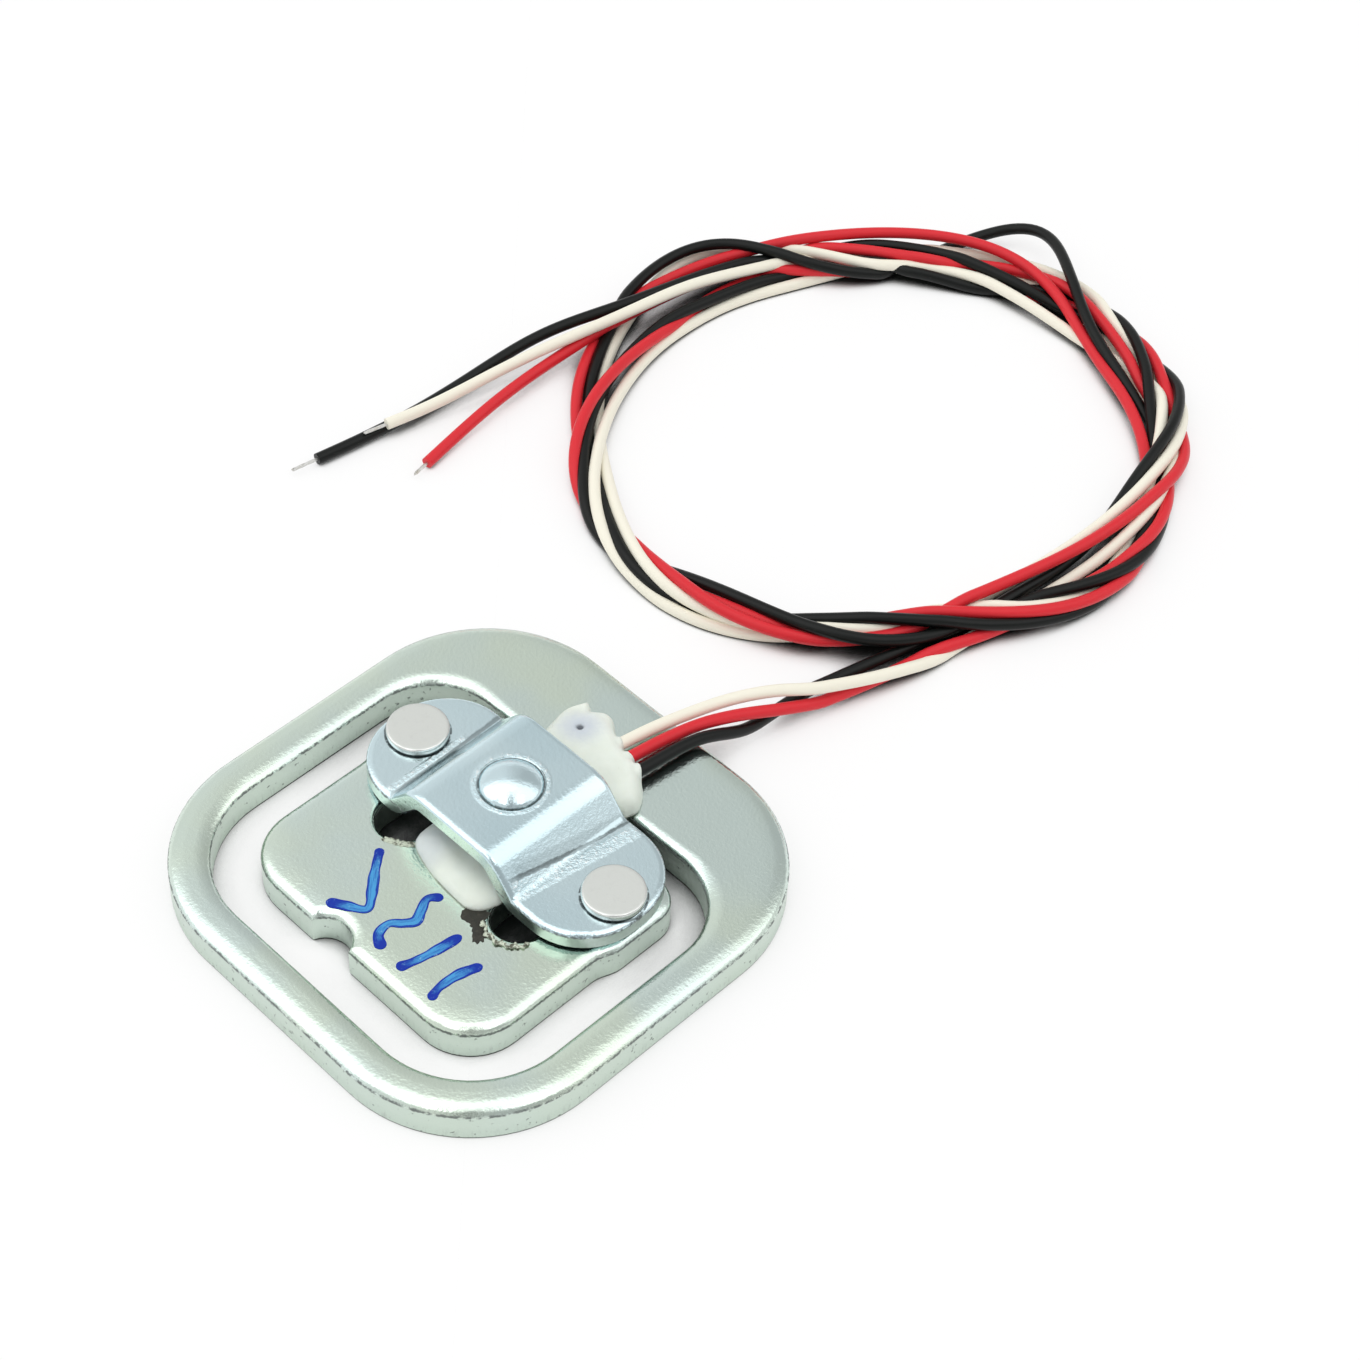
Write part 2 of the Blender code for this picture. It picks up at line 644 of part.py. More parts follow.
def meander(along_x, start, middle):
    """Outline of a foil track that runs to and fro, its legs along X or along Y."""
    track = []
    for leg in range(GRID_LEGS):
        across = (leg - (GRID_LEGS - 1) / 2) * GRID_PITCH
        ends = (0.0, GRID_LENGTH) if leg % 2 == 0 else (GRID_LENGTH, 0.0)
        track += [(end, across) for end in ends]
    sides = []
    for sign in (1, -1):
        side = []
        for k, (x, y) in enumerate(track):
            before = track[max(k - 1, 0)]
            after = track[min(k + 1, len(track) - 1)]
            normal_x = 0.0
            normal_y = 0.0
            for a, b in ((before, (x, y)), ((x, y), after)):
                if a == b:
                    continue
                length = math.dist(a, b)
                normal_x -= (b[1] - a[1]) / length
                normal_y += (b[0] - a[0]) / length
            side.append((x + sign * normal_x * GRID_LINE / 2, y + sign * normal_y * GRID_LINE / 2))
        sides.append(side)
    outline = sides[0] + sides[1][::-1]
    if along_x:
        return [(start + x, middle + y) for x, y in outline]
    return [(start + (GRID_LEGS - 1) / 2 * GRID_PITCH + y, middle - GRID_LENGTH / 2 + x) for x, y in outline]


def make_gauges(film, foil):
    end = FILM_START_X + FILM_LENGTH
    half = FILM_WIDTH / 2
    backing = rounded_rectangle(FILM_START_X, end, -half, half, 0.3)
    finish("gauge_film", extruded(backing, FILM_UNDER, FILM_TOP), film)
    first = meander(True, FILM_START_X + 0.4, 0.0)
    second = meander(False, FILM_START_X + 0.8 + GRID_LENGTH + GRID_PITCH, 0.0)
    grid_top = GRID_UNDER + GRID_THICK
    finish("gauge_grid_long", extruded(first, GRID_UNDER, grid_top), foil)
    finish("gauge_grid_cross", extruded(second, GRID_UNDER, grid_top), foil)


def closed_curve(points, step):
    """Smooth closed outline through the given points."""
    around = [(x, y, 0.0) for x, y in points]
    wrapped = around[-2:] + around + around[:2]
    curve = smooth_route(wrapped, step / 4)[:, :2]
    start = int(np.argmin(np.linalg.norm(curve - np.array(points[0]), axis=1)))
    tail = curve[start + 8:]
    end = start + 8 + int(np.argmin(np.linalg.norm(tail - np.array(points[0]), axis=1)))
    loop = curve[start:end]
    along = np.r_[0, np.cumsum(np.linalg.norm(np.diff(np.vstack([loop, loop[:1]]), axis=0), axis=1))]
    even = np.linspace(0, along[-1], round(along[-1] / step), endpoint=False)
    loop = np.vstack([loop, loop[:1]])
    return np.stack([np.interp(even, along, loop[:, k]) for k in range(2)], axis=1)


def edge_distance(points, outline):
    """Distance of each point from a closed outline."""
    a = outline[None, :, :]
    b = np.roll(outline, -1, axis=0)[None, :, :]
    p = points[:, None, :]
    share = ((p - a) * (b - a)).sum(axis=2) / ((b - a) ** 2).sum(axis=2)
    nearest = a + np.clip(share, 0, 1)[..., None] * (b - a)
    return np.linalg.norm(p - nearest, axis=2).min(axis=1)


def seal_height(points, outline):
    """Upper surface of the sealant: a flat mound that rolls off at its outline."""
    share = np.clip((points[:, 0] - SEAL_FRONT_X) / (SEAL_MIDDLE_X - SEAL_FRONT_X), 0, 1)
    ease = share * share * (3 - 2 * share)
    top = SEAL_FRONT_TOP + (SEAL_MIDDLE_TOP - SEAL_FRONT_TOP) * ease
    inward = np.clip(edge_distance(points, outline) / SEAL_EDGE, 0, 1)
    swell = np.sqrt(np.clip(1 - (1 - inward) ** 2, 0, 1))
    lip = SEAL_UNDER + SEAL_LIP
    return lip + (top - lip) * swell


def make_sealant(rubber):
    outline = closed_curve(SEAL_OUTLINE, SEAL_STEP)
    low = outline.min(axis=0)
    high = outline.max(axis=0)
    xs = np.arange(low[0], high[0], SEAL_GRID)
    ys = np.arange(low[1], high[1], SEAL_GRID)
    lattice = np.array([(x, y) for x in xs for y in ys])
    lattice = lattice[inside_outline(lattice, outline)]
    lattice = lattice[edge_distance(lattice, outline) > SEAL_GRID * 0.4]
    flat = np.vstack([outline, lattice])
    count = len(outline)
    rim = [(k, (k + 1) % count) for k in range(count)]
    placed = delaunay_2d_cdt([Vector(p) for p in flat], rim, [list(range(count))], 1, 1e-6)
    plan = np.array([tuple(v) for v in placed[0]])
    tops = seal_height(plan, outline)
    bm = bmesh.new()
    upper = [bm.verts.new((x, y, z)) for (x, y), z in zip(plan, tops)]
    lower = [bm.verts.new((x, y, SEAL_UNDER)) for x, y in plan]
    for a, b, c in placed[2]:
        bm.faces.new((upper[a], upper[b], upper[c]))
        bm.faces.new((lower[c], lower[b], lower[a]))
    twin = dict(zip(upper, lower))
    for edge in [e for e in bm.edges if e.is_boundary and e.verts[0] in twin]:
        a, b = edge.verts
        bm.faces.new((a, b, twin[b], twin[a]))
    sealant = finish("sealant", bm, rubber, 60.0)
    cavity = rounded_rectangle(
        FILM_START_X - SEAT_GAP, FILM_START_X + FILM_LENGTH + SEAT_GAP,
        -FILM_WIDTH / 2 - SEAT_GAP, FILM_WIDTH / 2 + SEAT_GAP, 0.5)
    cavity_tool = finish("seal_cavity_tool", extruded(cavity, PLATE_THICK, SEAL_ROOF), rubber)
    boolean(sealant, cavity_tool, "DIFFERENCE")
    for colour, route in LEADS.items():
        start, second = Vector(route[0]), Vector(route[1])
        inner_end = start - (second - start).normalized() * CHANNEL_REACH
        path = [inner_end] + [Vector(p) for p in route[:4]]
        channel = finish(f"seal_channel_tool_{colour}", rod(path, WIRE_RADIUS + WIRE_SEAT), rubber)
        boolean(sealant, channel, "DIFFERENCE")
    return sealant


def joint_mesh(solder):
    """Small dome of solder."""
    quarter = arc(0.0, 0.0, 1.0, 0, 90, 6)[:-1]
    profile = [(0.0, GRID_UNDER)]
    profile += [(JOINT_RADIUS * x, GRID_UNDER + JOINT_HEIGHT * y) for x, y in quarter]
    profile.append((0.0, GRID_UNDER + JOINT_HEIGHT))
    return finished_mesh("solder_joint", lathe(profile, steps=16), solder)


def coil_radius_point(turned, outward):
    """Point of the oval coil at an angle, moved outward from its middle line."""
    x = (COIL_LONG + outward) * math.cos(turned)
    y = (COIL_SHORT + outward) * math.sin(turned)
    c = math.cos(COIL_TURNED)
    s = math.sin(COIL_TURNED)
    return COIL_X + x * c - y * s, COIL_Y + x * s + y * c


def make_wire_coil(plastic, steps=72, section=12):
    """Outer shape of the loose coil that the three wires are laid in."""
    bm = bmesh.new()
    middle = (COIL_FLOOR + COIL_TOP) / 2
    half_height = (COIL_TOP - COIL_FLOOR) / 2
    rings = []
    for k in range(steps):
        turned = 2 * math.pi * k / steps
        verts = []
        for j in range(section):
            angle = 2 * math.pi * (j + 0.5) / section
            flatter = math.copysign(abs(math.sin(angle)) ** 0.8, math.sin(angle))
            x, y = coil_radius_point(turned, COIL_HALF_WIDTH * math.cos(angle))
            verts.append(bm.verts.new((x, y, middle + half_height * flatter)))
        rings.append(verts)
    for here, after in zip(rings, rings[1:] + rings[:1]):
        for j in range(section):
            i = (j + 1) % section
            bm.faces.new((here[j], after[j], after[i], here[i]))
    return finish("wire_coil", bm, plastic, 60.0)


def along_from(point, towards, distance):
    """Point at a distance from one point on the line that leads away from another."""
    direction = (Vector(point) - Vector(towards)).normalized()
    return tuple(Vector(point) + direction * distance)


def make_wires(tin, solder):
    joint = joint_mesh(solder)
    for colour, route in LEADS.items():
        plastic = material(f"insulation_{colour}", WIRE_COLOURS[colour], 0.4)
        lead = smooth_route(route, ROUTE_STEP)
        tail = smooth_route(TAILS[colour], ROUTE_STEP)
        tube(f"wire_lead_{colour}", lead, WIRE_RADIUS, plastic)
        tube(f"wire_tail_{colour}", tail, WIRE_RADIUS, plastic)
        joint_y = (3 * route[0][1] - route[1][1]) / 2
        place(f"solder_joint_{colour}", joint, JOINT_X, joint_y)
        core_start = (JOINT_X + JOINT_RADIUS + FINE_GAP, joint_y, route[0][2])
        core_end = (route[0][0] - FINE_GAP, route[0][1], route[0][2])
        tube(f"wire_core_{colour}", [core_start, core_end], CORE_RADIUS, tin)
        tip_start = along_from(tail[-1], tail[-2], FINE_GAP)
        tip_end = along_from(tail[-1], tail[-2], FINE_GAP + TIP_LENGTH[colour])
        tube(f"wire_tip_{colour}", [tip_start, tip_end], CORE_RADIUS, tin)


def main():
    clear_scene()
    zinc = material("zinc_plated_steel", (0.52, 0.58, 0.52), 0.32, 0.85)
    blue_zinc = material("blue_zinc_steel", (0.46, 0.58, 0.62), 0.3, 0.85)
    rivet_metal = material("rivet_steel", (0.62, 0.62, 0.58), 0.45, 0.85)
    rubber = material("white_sealant", (0.86, 0.85, 0.78), 0.45)
    film = material("gauge_backing", (0.55, 0.32, 0.08), 0.35)
    foil = material("gauge_foil", (0.62, 0.55, 0.42), 0.3, 1.0)
    solder = material("solder", (0.7, 0.7, 0.68), 0.25, 1.0)
    tin = material("tinned_copper", (0.75, 0.75, 0.72), 0.3, 1.0)
    coil_plastic = material("coiled_insulation", (0.35, 0.1, 0.08), 0.4)
    make_sensor_plate(zinc)
    make_load_bracket(blue_zinc)
    make_rivets(rivet_metal)
    make_gauges(film, foil)
    make_sealant(rubber)
    make_wires(tin, solder)
    make_wire_coil(coil_plastic)


main()
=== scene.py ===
# %% [markdown]
# # The load cell of a body scale
#
# A square of stamped steel, a tongue inside it on a short bending beam, and a little bridge
# riveted across the beam. Strain gauges sit on the beam under ivory sealant, and three thin
# wires leave the sealant, run into a loose coil and end in bare, tinned strands.
#
# The solids come from the CAD model. This file gives them their finish, and makes what CAD
# keeps plain: the wires down to their strands, the rivets, the sealant and the small marks
# of the workshop.

# %% The frame and its box
import json
import math

import bmesh
import bpy
import numpy as np
from mathutils import Matrix, Vector
from mathutils.geometry import delaunay_2d_cdt

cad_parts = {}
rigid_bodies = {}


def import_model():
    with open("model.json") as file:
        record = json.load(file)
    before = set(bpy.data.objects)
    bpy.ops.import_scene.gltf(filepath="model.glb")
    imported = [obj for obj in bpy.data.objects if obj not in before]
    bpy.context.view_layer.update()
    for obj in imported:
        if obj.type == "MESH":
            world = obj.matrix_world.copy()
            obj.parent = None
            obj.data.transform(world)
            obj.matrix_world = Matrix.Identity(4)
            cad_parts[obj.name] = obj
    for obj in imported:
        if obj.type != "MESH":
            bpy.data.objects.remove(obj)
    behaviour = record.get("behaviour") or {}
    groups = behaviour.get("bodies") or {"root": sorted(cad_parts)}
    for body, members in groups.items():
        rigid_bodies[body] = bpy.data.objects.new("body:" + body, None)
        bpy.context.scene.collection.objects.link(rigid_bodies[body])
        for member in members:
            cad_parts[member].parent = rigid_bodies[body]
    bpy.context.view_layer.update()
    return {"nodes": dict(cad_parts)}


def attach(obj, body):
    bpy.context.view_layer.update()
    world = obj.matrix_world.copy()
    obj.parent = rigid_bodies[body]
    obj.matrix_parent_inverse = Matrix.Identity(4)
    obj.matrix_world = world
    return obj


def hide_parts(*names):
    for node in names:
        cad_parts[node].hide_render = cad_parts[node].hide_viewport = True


for found in list(bpy.data.objects):
    bpy.data.objects.remove(found, do_unlink=True)
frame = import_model()
MM = 0.001

# %% [markdown]
# ## Camera
#
# The photograph looks down at the cell from beyond its tongue. The numbers below are an
# ordinary tripod's: how far round, how high, how far away, and a small roll of the camera.

# %% The camera
VIEW_TURN = math.radians(-47.663)
VIEW_HEIGHT = math.radians(48.163)
VIEW_ROLL = math.radians(3.592)
VIEW_DISTANCE = 202.446 * MM
VIEW_TARGET = Vector((21.565, 3.317, 0.0)) * MM
SENSOR_MM = 36.0
LENS_MM = 78.02


def placed(name, data):
    """A new object in the scene that holds this mesh, curve, lamp or camera."""
    made = bpy.data.objects.new(name, data)
    bpy.context.scene.collection.objects.link(made)
    return made


back = Vector((
    math.sin(VIEW_TURN) * math.cos(VIEW_HEIGHT),
    -math.cos(VIEW_TURN) * math.cos(VIEW_HEIGHT),
    math.sin(VIEW_HEIGHT),
))
across = Vector((0, 0, 1)).cross(back).normalized()
level = Matrix((across, back.cross(across), back)).transposed().to_4x4()
camera_data = bpy.data.cameras.new("camera")
camera_data.sensor_width = SENSOR_MM
camera_data.lens = LENS_MM
camera_data.clip_start = 1 * MM
camera = placed("camera", camera_data)
camera.matrix_world = (
    Matrix.Translation(VIEW_TARGET + back * VIEW_DISTANCE) @ level @ Matrix.Rotation(VIEW_ROLL, 4, "Z")
)
bpy.context.scene.camera = camera
print("camera at mm:", [round(c / MM) for c in camera.location])

# %% [markdown]
# ## Routes of the wires
#
# Each wire is a fixed length of something soft. Its lead and its tail are the points that
# the CAD tubes follow, in millimetres. The coil was wound by hand, so its turns wander.
# They are worked out in even steps round the coil's middle. All that the function is told
# is where a wire swings out, swings in or climbs over another: how many degrees it has been
# wound there, how far out it lies, and how high.

# %% Leads and tails, as in the CAD model, with the white end lying a little lower
LEADS = {
    "white": [(10.3, 0.3, 3.4), (12.1, 0.0, 3.4), (15.1, -0.5, 3.3), (18.0, -1.2, 3.2),
              (20.8, -2.1, 3.1), (23.4, -3.4, 3.0), (26.0, -5.0, 2.6), (28.7, -6.2, 2.1),
              (32.8, -7.4, 1.3)],
    "red": [(10.3, -1.0, 3.4), (12.0, -1.3, 3.4), (14.9, -1.7, 3.3), (17.8, -2.3, 3.1),
            (20.6, -3.3, 2.7), (23.4, -4.5, 2.1), (26.3, -5.4, 1.3), (29.1, -5.9, 0.7),
            (31.6, -6.3, 0.6)],
    "black": [(10.3, -2.3, 3.4), (12.1, -2.6, 3.4), (15.0, -2.9, 3.35), (17.1, -3.2, 3.05),
              (19.0, -3.6, 2.3), (21.0, -3.8, 1.5), (24.0, -3.7, 1.0), (26.8, -4.1, 1.2),
              (30.4, -5.1, 1.4)],
}
TAILS = {
    "white": [(34.8, 32.7, 2.3), (33.3, 33.0, 2.1), (30.4, 33.6, 1.7), (28.0, 33.9, 1.4),
              (25.3, 34.3, 1.3), (22.7, 35.0, 1.3)],
    "red": [(33.0, 31.7, 1.4), (30.0, 31.5, 1.2), (27.1, 31.2, 0.9), (22.6, 30.5, 0.6)],
    "black": [(37.7, 34.2, 2.1), (36.0, 34.4, 1.8), (33.1, 34.8, 1.2), (30.2, 35.0, 0.7),
              (27.2, 35.1, 0.6), (24.1, 35.2, 0.6), (21.2, 35.5, 0.6), (17.0, 36.2, 0.6)],
}

# %% The coil: degrees wound, distance from the middle and height, where a wire swings
COIL_MIDDLE = (49.4, 10.3)
FIRST_ANGLE = -120
ANGLE_STEP = 15
SWINGS = {
    "white": [
        (0, 21.0, 0.5), (15, 19.6, 0.5), (45, 20.6, 1.6), (70, 22.1, 1.0), (95, 20.7, 0.5),
        (120, 22.2, 0.6), (150, 19.8, 0.5), (195, 18.0, 0.5), (240, 19.3, 0.9), (270, 21.8, 1.5),
        (285, 23.8, 1.2), (300, 24.1, 0.5), (315, 23.7, 0.5), (345, 19.1, 0.5), (360, 18.6, 1.0),
        (375, 20.9, 1.4), (390, 21.7, 0.7), (420, 20.2, 1.1), (435, 21.0, 1.9), (450, 21.8, 1.2),
        (465, 19.6, 0.7), (480, 18.9, 1.2), (510, 19.5, 1.3), (525, 17.8, 1.4), (560, 24.4, 0.6),
        (585, 22.2, 0.5), (630, 20.9, 1.1), (660, 23.3, 1.6), (675, 22.9, 0.9), (705, 20.3, 1.4),
        (720, 18.4, 0.5), (740, 17.4, 0.9), (780, 20.3, 2.1), (795, 22.8, 1.9), (810, 23.2, 0.7),
        (825, 22.1, 1.6), (840, 23.7, 1.2), (885, 20.5, 0.5), (915, 19.1, 1.8), (945, 21.2, 2.6),
    ],
    "red": [
        (0, 21.7, 1.0), (15, 20.6, 0.6), (45, 22.3, 1.6), (60, 21.8, 1.1), (90, 21.4, 1.0),
        (105, 20.9, 2.0), (120, 22.4, 1.7), (135, 21.9, 1.1), (150, 19.0, 1.5), (165, 19.7, 1.8),
        (180, 21.1, 0.9), (195, 19.7, 0.6), (220, 18.8, 1.3), (240, 20.0, 2.1), (255, 21.8, 2.3),
        (270, 23.6, 1.3), (285, 23.1, 0.5), (315, 22.4, 1.6), (330, 22.1, 1.1), (345, 19.4, 1.2),
        (360, 20.1, 2.1), (385, 22.9, 1.6), (415, 20.7, 0.5), (435, 19.7, 1.3), (465, 18.9, 1.3),
        (495, 22.6, 2.0), (540, 21.2, 1.9), (580, 23.2, 0.6), (600, 23.0, 1.2), (645, 22.1, 0.7),
        (675, 23.5, 2.2), (690, 23.1, 1.7), (705, 20.9, 1.1), (720, 18.7, 1.6), (735, 18.3, 2.2),
        (765, 19.8, 2.2), (795, 23.0, 0.9), (810, 22.7, 1.6), (825, 22.9, 0.8), (855, 20.3, 0.5),
        (870, 20.5, 0.5), (885, 18.4, 0.6), (900, 17.8, 1.3), (915, 20.8, 0.9), (930, 20.9, 1.2),
        (945, 22.1, 1.5),
    ],
    "black": [
        (0, 19.7, 0.5), (15, 20.0, 1.6), (30, 22.2, 2.0), (50, 22.2, 0.6), (75, 21.0, 0.5),
        (105, 19.2, 2.1), (120, 21.9, 2.8), (135, 27.5, 1.8), (150, 22.0, 0.5), (170, 17.0, 1.2),
        (180, 17.5, 2.2), (195, 23.5, 1.9), (210, 24.1, 1.5), (240, 21.9, 1.1), (270, 21.7, 0.6),
        (290, 23.6, 1.4), (300, 24.1, 1.2), (315, 22.2, 0.6), (345, 20.1, 2.1), (360, 21.4, 2.0),
        (390, 22.6, 0.5), (405, 21.3, 1.3), (420, 21.2, 0.5), (435, 20.6, 1.2), (450, 21.3, 2.0),
        (465, 22.8, 1.8), (475, 23.2, 1.2), (495, 19.2, 0.5), (515, 18.2, 1.5), (540, 19.1, 0.6),
        (555, 18.2, 1.2), (630, 22.8, 1.5), (645, 24.1, 0.5), (660, 21.6, 1.0), (675, 21.6, 2.3),
        (700, 23.1, 2.3), (720, 20.2, 1.1), (735, 18.8, 1.2), (765, 18.5, 0.7), (780, 19.2, 2.2),
        (795, 22.1, 2.7), (810, 23.5, 1.4), (825, 22.2, 0.5), (855, 19.7, 1.9), (885, 21.1, 1.3),
        (900, 20.7, 0.6), (915, 20.3, 1.7), (930, 20.7, 2.1), (945, 22.4, 2.4),
    ],
}


def bridged(t, start, leaving, end, arriving):
    """Cubic from start to end with these slopes, at shares t of the way."""
    return ((2 * t**3 - 3 * t**2 + 1) * start + (t**3 - 2 * t**2 + t) * leaving
            + (3 * t**2 - 2 * t**3) * end + (t**3 - t**2) * arriving)


def gliding(places, values, wanted):
    """Values between the given ones, level where they turn back and never beyond them."""
    width = np.diff(places)
    rise = np.diff(values) / width
    same_way = rise[:-1] * rise[1:] > 0
    slope = np.zeros(len(values))
    slope[1:-1][same_way] = 2 / (1 / rise[:-1][same_way] + 1 / rise[1:][same_way])
    k = np.clip(np.searchsorted(places, wanted, side="right") - 1, 0, len(width) - 1)
    t = (wanted - places[k]) / width[k]
    return bridged(t, values[k], width[k] * slope[k], values[k + 1], width[k] * slope[k + 1])


def coil_points(swings):
    """Wind a wire round the coil's middle, one point for each step of the angle."""
    wound, radii, heights = np.array(swings, dtype=float).T
    steps = np.arange(0, wound[-1] + 1, ANGLE_STEP)
    angles = np.radians(FIRST_ANGLE + steps)
    radius = gliding(wound, radii, steps)
    x = COIL_MIDDLE[0] + radius * np.cos(angles)
    y = COIL_MIDDLE[1] + radius * np.sin(angles)
    return list(zip(x, y, gliding(wound, heights, steps)))


routes = {colour: LEADS[colour] + coil_points(SWINGS[colour]) + TAILS[colour] for colour in LEADS}
for colour, route in routes.items():
    print(colour, "wire:", len(route), "points,", round(SWINGS[colour][-1][0] / 360, 1), "turns")

# %% [markdown]
# A smooth curve goes through the points, and is then read at even steps. A wire can't pass
# through another, so the three curves are settled together: points that are closer than a
# diameter push each other apart, the floor and the plate hold them up, and a little
# stiffness keeps them smooth. The first stretch stays where the CAD tubes leave the
# sealant, and what lies high gives way less than what lies low.

# %% Smooth curves
WIRE_DIAMETER = 0.88
SPAN_STEPS = 16


def distances(line):
    """How far along a line each of its points lies."""
    return np.r_[0, np.cumsum(np.linalg.norm(np.diff(line, axis=0), axis=1))]


def spread(line, count):
    """This many evenly spaced points along a line."""
    along = distances(line)
    even = np.linspace(0, along[-1], count)
    return np.stack([np.interp(even, along, side) for side in line.T], axis=1)


def smooth_route(points, step):
    """Evenly spaced points on a smooth curve through the given ones."""
    given = np.array(points, dtype=float)
    given = np.vstack([2 * given[0] - given[1], given, 2 * given[-1] - given[-2]])
    t = np.linspace(0, 1, SPAN_STEPS, endpoint=False)[:, None]
    pieces = [bridged(t, p1, (p2 - p0) / 2, p2, (p3 - p1) / 2)
              for p0, p1, p2, p3 in zip(given, given[1:], given[2:], given[3:])]
    curve = np.vstack(pieces + [given[-2:-1]])
    return spread(curve, max(2, round(distances(curve)[-1] / step) + 1))


# %% Wires that push each other apart
PLATE_THICK = 2.6
PLATE_HALF = 17.0
SETTLE_STEP = 1.3
SETTLE_ROUNDS = 90
SAME_STRETCH = 5
STIFFNESS = 0.06
NEEDED_GAP = 1.02 * WIRE_DIAMETER
HELD_POINTS = 14
HELD_FREEDOM = 0.02
LEAST_FREEDOM = 0.3
HIGH = 2.1
LINE_STEP = 0.5


def settle(wires):
    """Move the wires' points apart until no two wires share a place."""
    wire_of = np.concatenate([np.full(len(w), k) for k, w in enumerate(wires)])
    place_on = np.concatenate([np.arange(len(w)) for w in wires])
    held = place_on < HELD_POINTS
    points = np.vstack(wires)
    start = points.copy()
    neighbours = wire_of[:, None] == wire_of[None]
    neighbours &= abs(place_on[:, None] - place_on[None]) < SAME_STRETCH
    ends = np.r_[0, np.cumsum([len(w) for w in wires])]
    free = np.where(held, HELD_FREEDOM, np.clip(HIGH - points[:, 2], LEAST_FREEDOM, 1.0))
    share = 2 * free[:, None] / (free[:, None] + free[None])
    on_plate = (abs(points[:, :2]) < PLATE_HALF).all(axis=1)
    lowest = np.where(on_plate, PLATE_THICK, 0.0) + NEEDED_GAP / 2
    for _ in range(SETTLE_ROUNDS):
        apart = points[:, None] - points[None]
        gap = np.sqrt((apart**2).sum(axis=2)) + 1e-9
        hit = (gap < NEEDED_GAP) & ~neighbours
        push = np.where(hit, (NEEDED_GAP - gap) / gap / 2 * share, 0)
        points += (apart * push[..., None]).sum(axis=1) / np.maximum(hit.sum(axis=1), 1)[:, None]
        for a, b in zip(ends, ends[1:]):
            wire = points[a:b]
            wire[1:-1] += STIFFNESS * ((wire[:-2] + wire[2:]) / 2 - wire[1:-1])
        points[held] = start[held]
        points[:, 2] = np.maximum(points[:, 2], lowest)
    gap[neighbours] = np.inf
    print("settled: nearest wires", round(float(gap.min()), 2), "mm apart, moved",
          round(float(np.linalg.norm(points - start, axis=1).mean()), 2), "mm on average")
    return [points[a:b] for a, b in zip(ends, ends[1:])]


settled = settle([smooth_route(route, SETTLE_STEP) for route in routes.values()])
centre_lines = {colour: smooth_route(points, LINE_STEP) for colour, points in zip(routes, settled)}
for colour, line in centre_lines.items():
    print(colour, "wire is", round(float(distances(line)[-1])), "mm long")

# %% [markdown]
# ## Writing nodes as sums
#
# A material is a small calculation that runs at every point of a surface, and a shape made
# by Geometry Nodes is one too. The first class below wraps one socket, so that Python's own
# signs add the Math nodes. The second adds any other node from its kind, its settings and
# the values of its sockets. A finish is such a tree, and so is the sky. The colour of a
# finish is laid in coats, and each coat shows where its share is high.


# %% Sockets with arithmetic
class Socket:
    """One output of a node tree, with the usual signs of arithmetic."""

    def __init__(self, tree, output):
        self.tree = tree
        self.output = output

    def math(self, operation, other=0.0, swapped=False):
        pair = (other, self) if swapped else (self, other)
        return self.tree.node("Math", dict(enumerate(pair)), operation=operation)

    def __add__(self, other):
        return self.math("ADD", other)

    def __radd__(self, other):
        return self.math("ADD", other, swapped=True)

    def __sub__(self, other):
        return self.math("SUBTRACT", other)

    def __rsub__(self, other):
        return self.math("SUBTRACT", other, swapped=True)

    def __mul__(self, other):
        return self.math("MULTIPLY", other)

    def __rmul__(self, other):
        return self.math("MULTIPLY", other, swapped=True)

    def limited(self, low, high):
        """This value, kept between two limits."""
        return self.math("MAXIMUM", low).math("MINIMUM", high)

    def __abs__(self):
        return self.math("ABSOLUTE")

    def wobble(self, amount):
        """A cloudy value as a shift up or down, by this amount in all."""
        return (self - 0.5) * amount

    def between(self, low, high):
        """0 where this is below low, 1 above high, and a smooth step between them."""
        values = {"Value": self, "From Min": low, "From Max": high}
        return self.tree.node("MapRange", values, interpolation_type="SMOOTHSTEP")

    def axis(self, letter):
        """One coordinate of a place or a direction."""
        return self.tree.node("SeparateXYZ", {"Vector": self}, out=letter)


# %% A tree, built node by node
class Tree:
    """A node tree that is written as plain calls."""

    def __init__(self, tree):
        self.tree = tree
        self.tree.nodes.clear()

    def feed(self, slot, value):
        """Link a socket to a node's input, or set the input to a plain value."""
        if isinstance(value, Socket):
            self.tree.links.new(value.output, slot)
        elif hasattr(slot.default_value, "__len__") and len(slot.default_value) == 4:
            slot.default_value = (*value, 1.0)
        else:
            slot.default_value = value

    def node(self, kind, values=None, stops=None, out=0, **settings):
        """Add a node, one for shaders if its kind doesn't say; stops are those of its ramp."""
        node = self.tree.nodes.new(kind if "Node" in kind else "ShaderNode" + kind)
        for name, value in settings.items():
            setattr(node, name, value)
        if stops:
            ramp = node.color_ramp.elements
            ramp[0].position, ramp[-1].position = stops[0][0], stops[-1][0]
            middle = [ramp.new(place) for place, level in stops[1:-1]]
            for element, (place, level) in zip([ramp[0], *middle, ramp[-1]], stops):
                element.color = (level, level, level, 1.0)
        for key, value in (values or {}).items():
            self.feed(node.inputs[key], value)
        return Socket(self, node.outputs[out]) if node.outputs else None


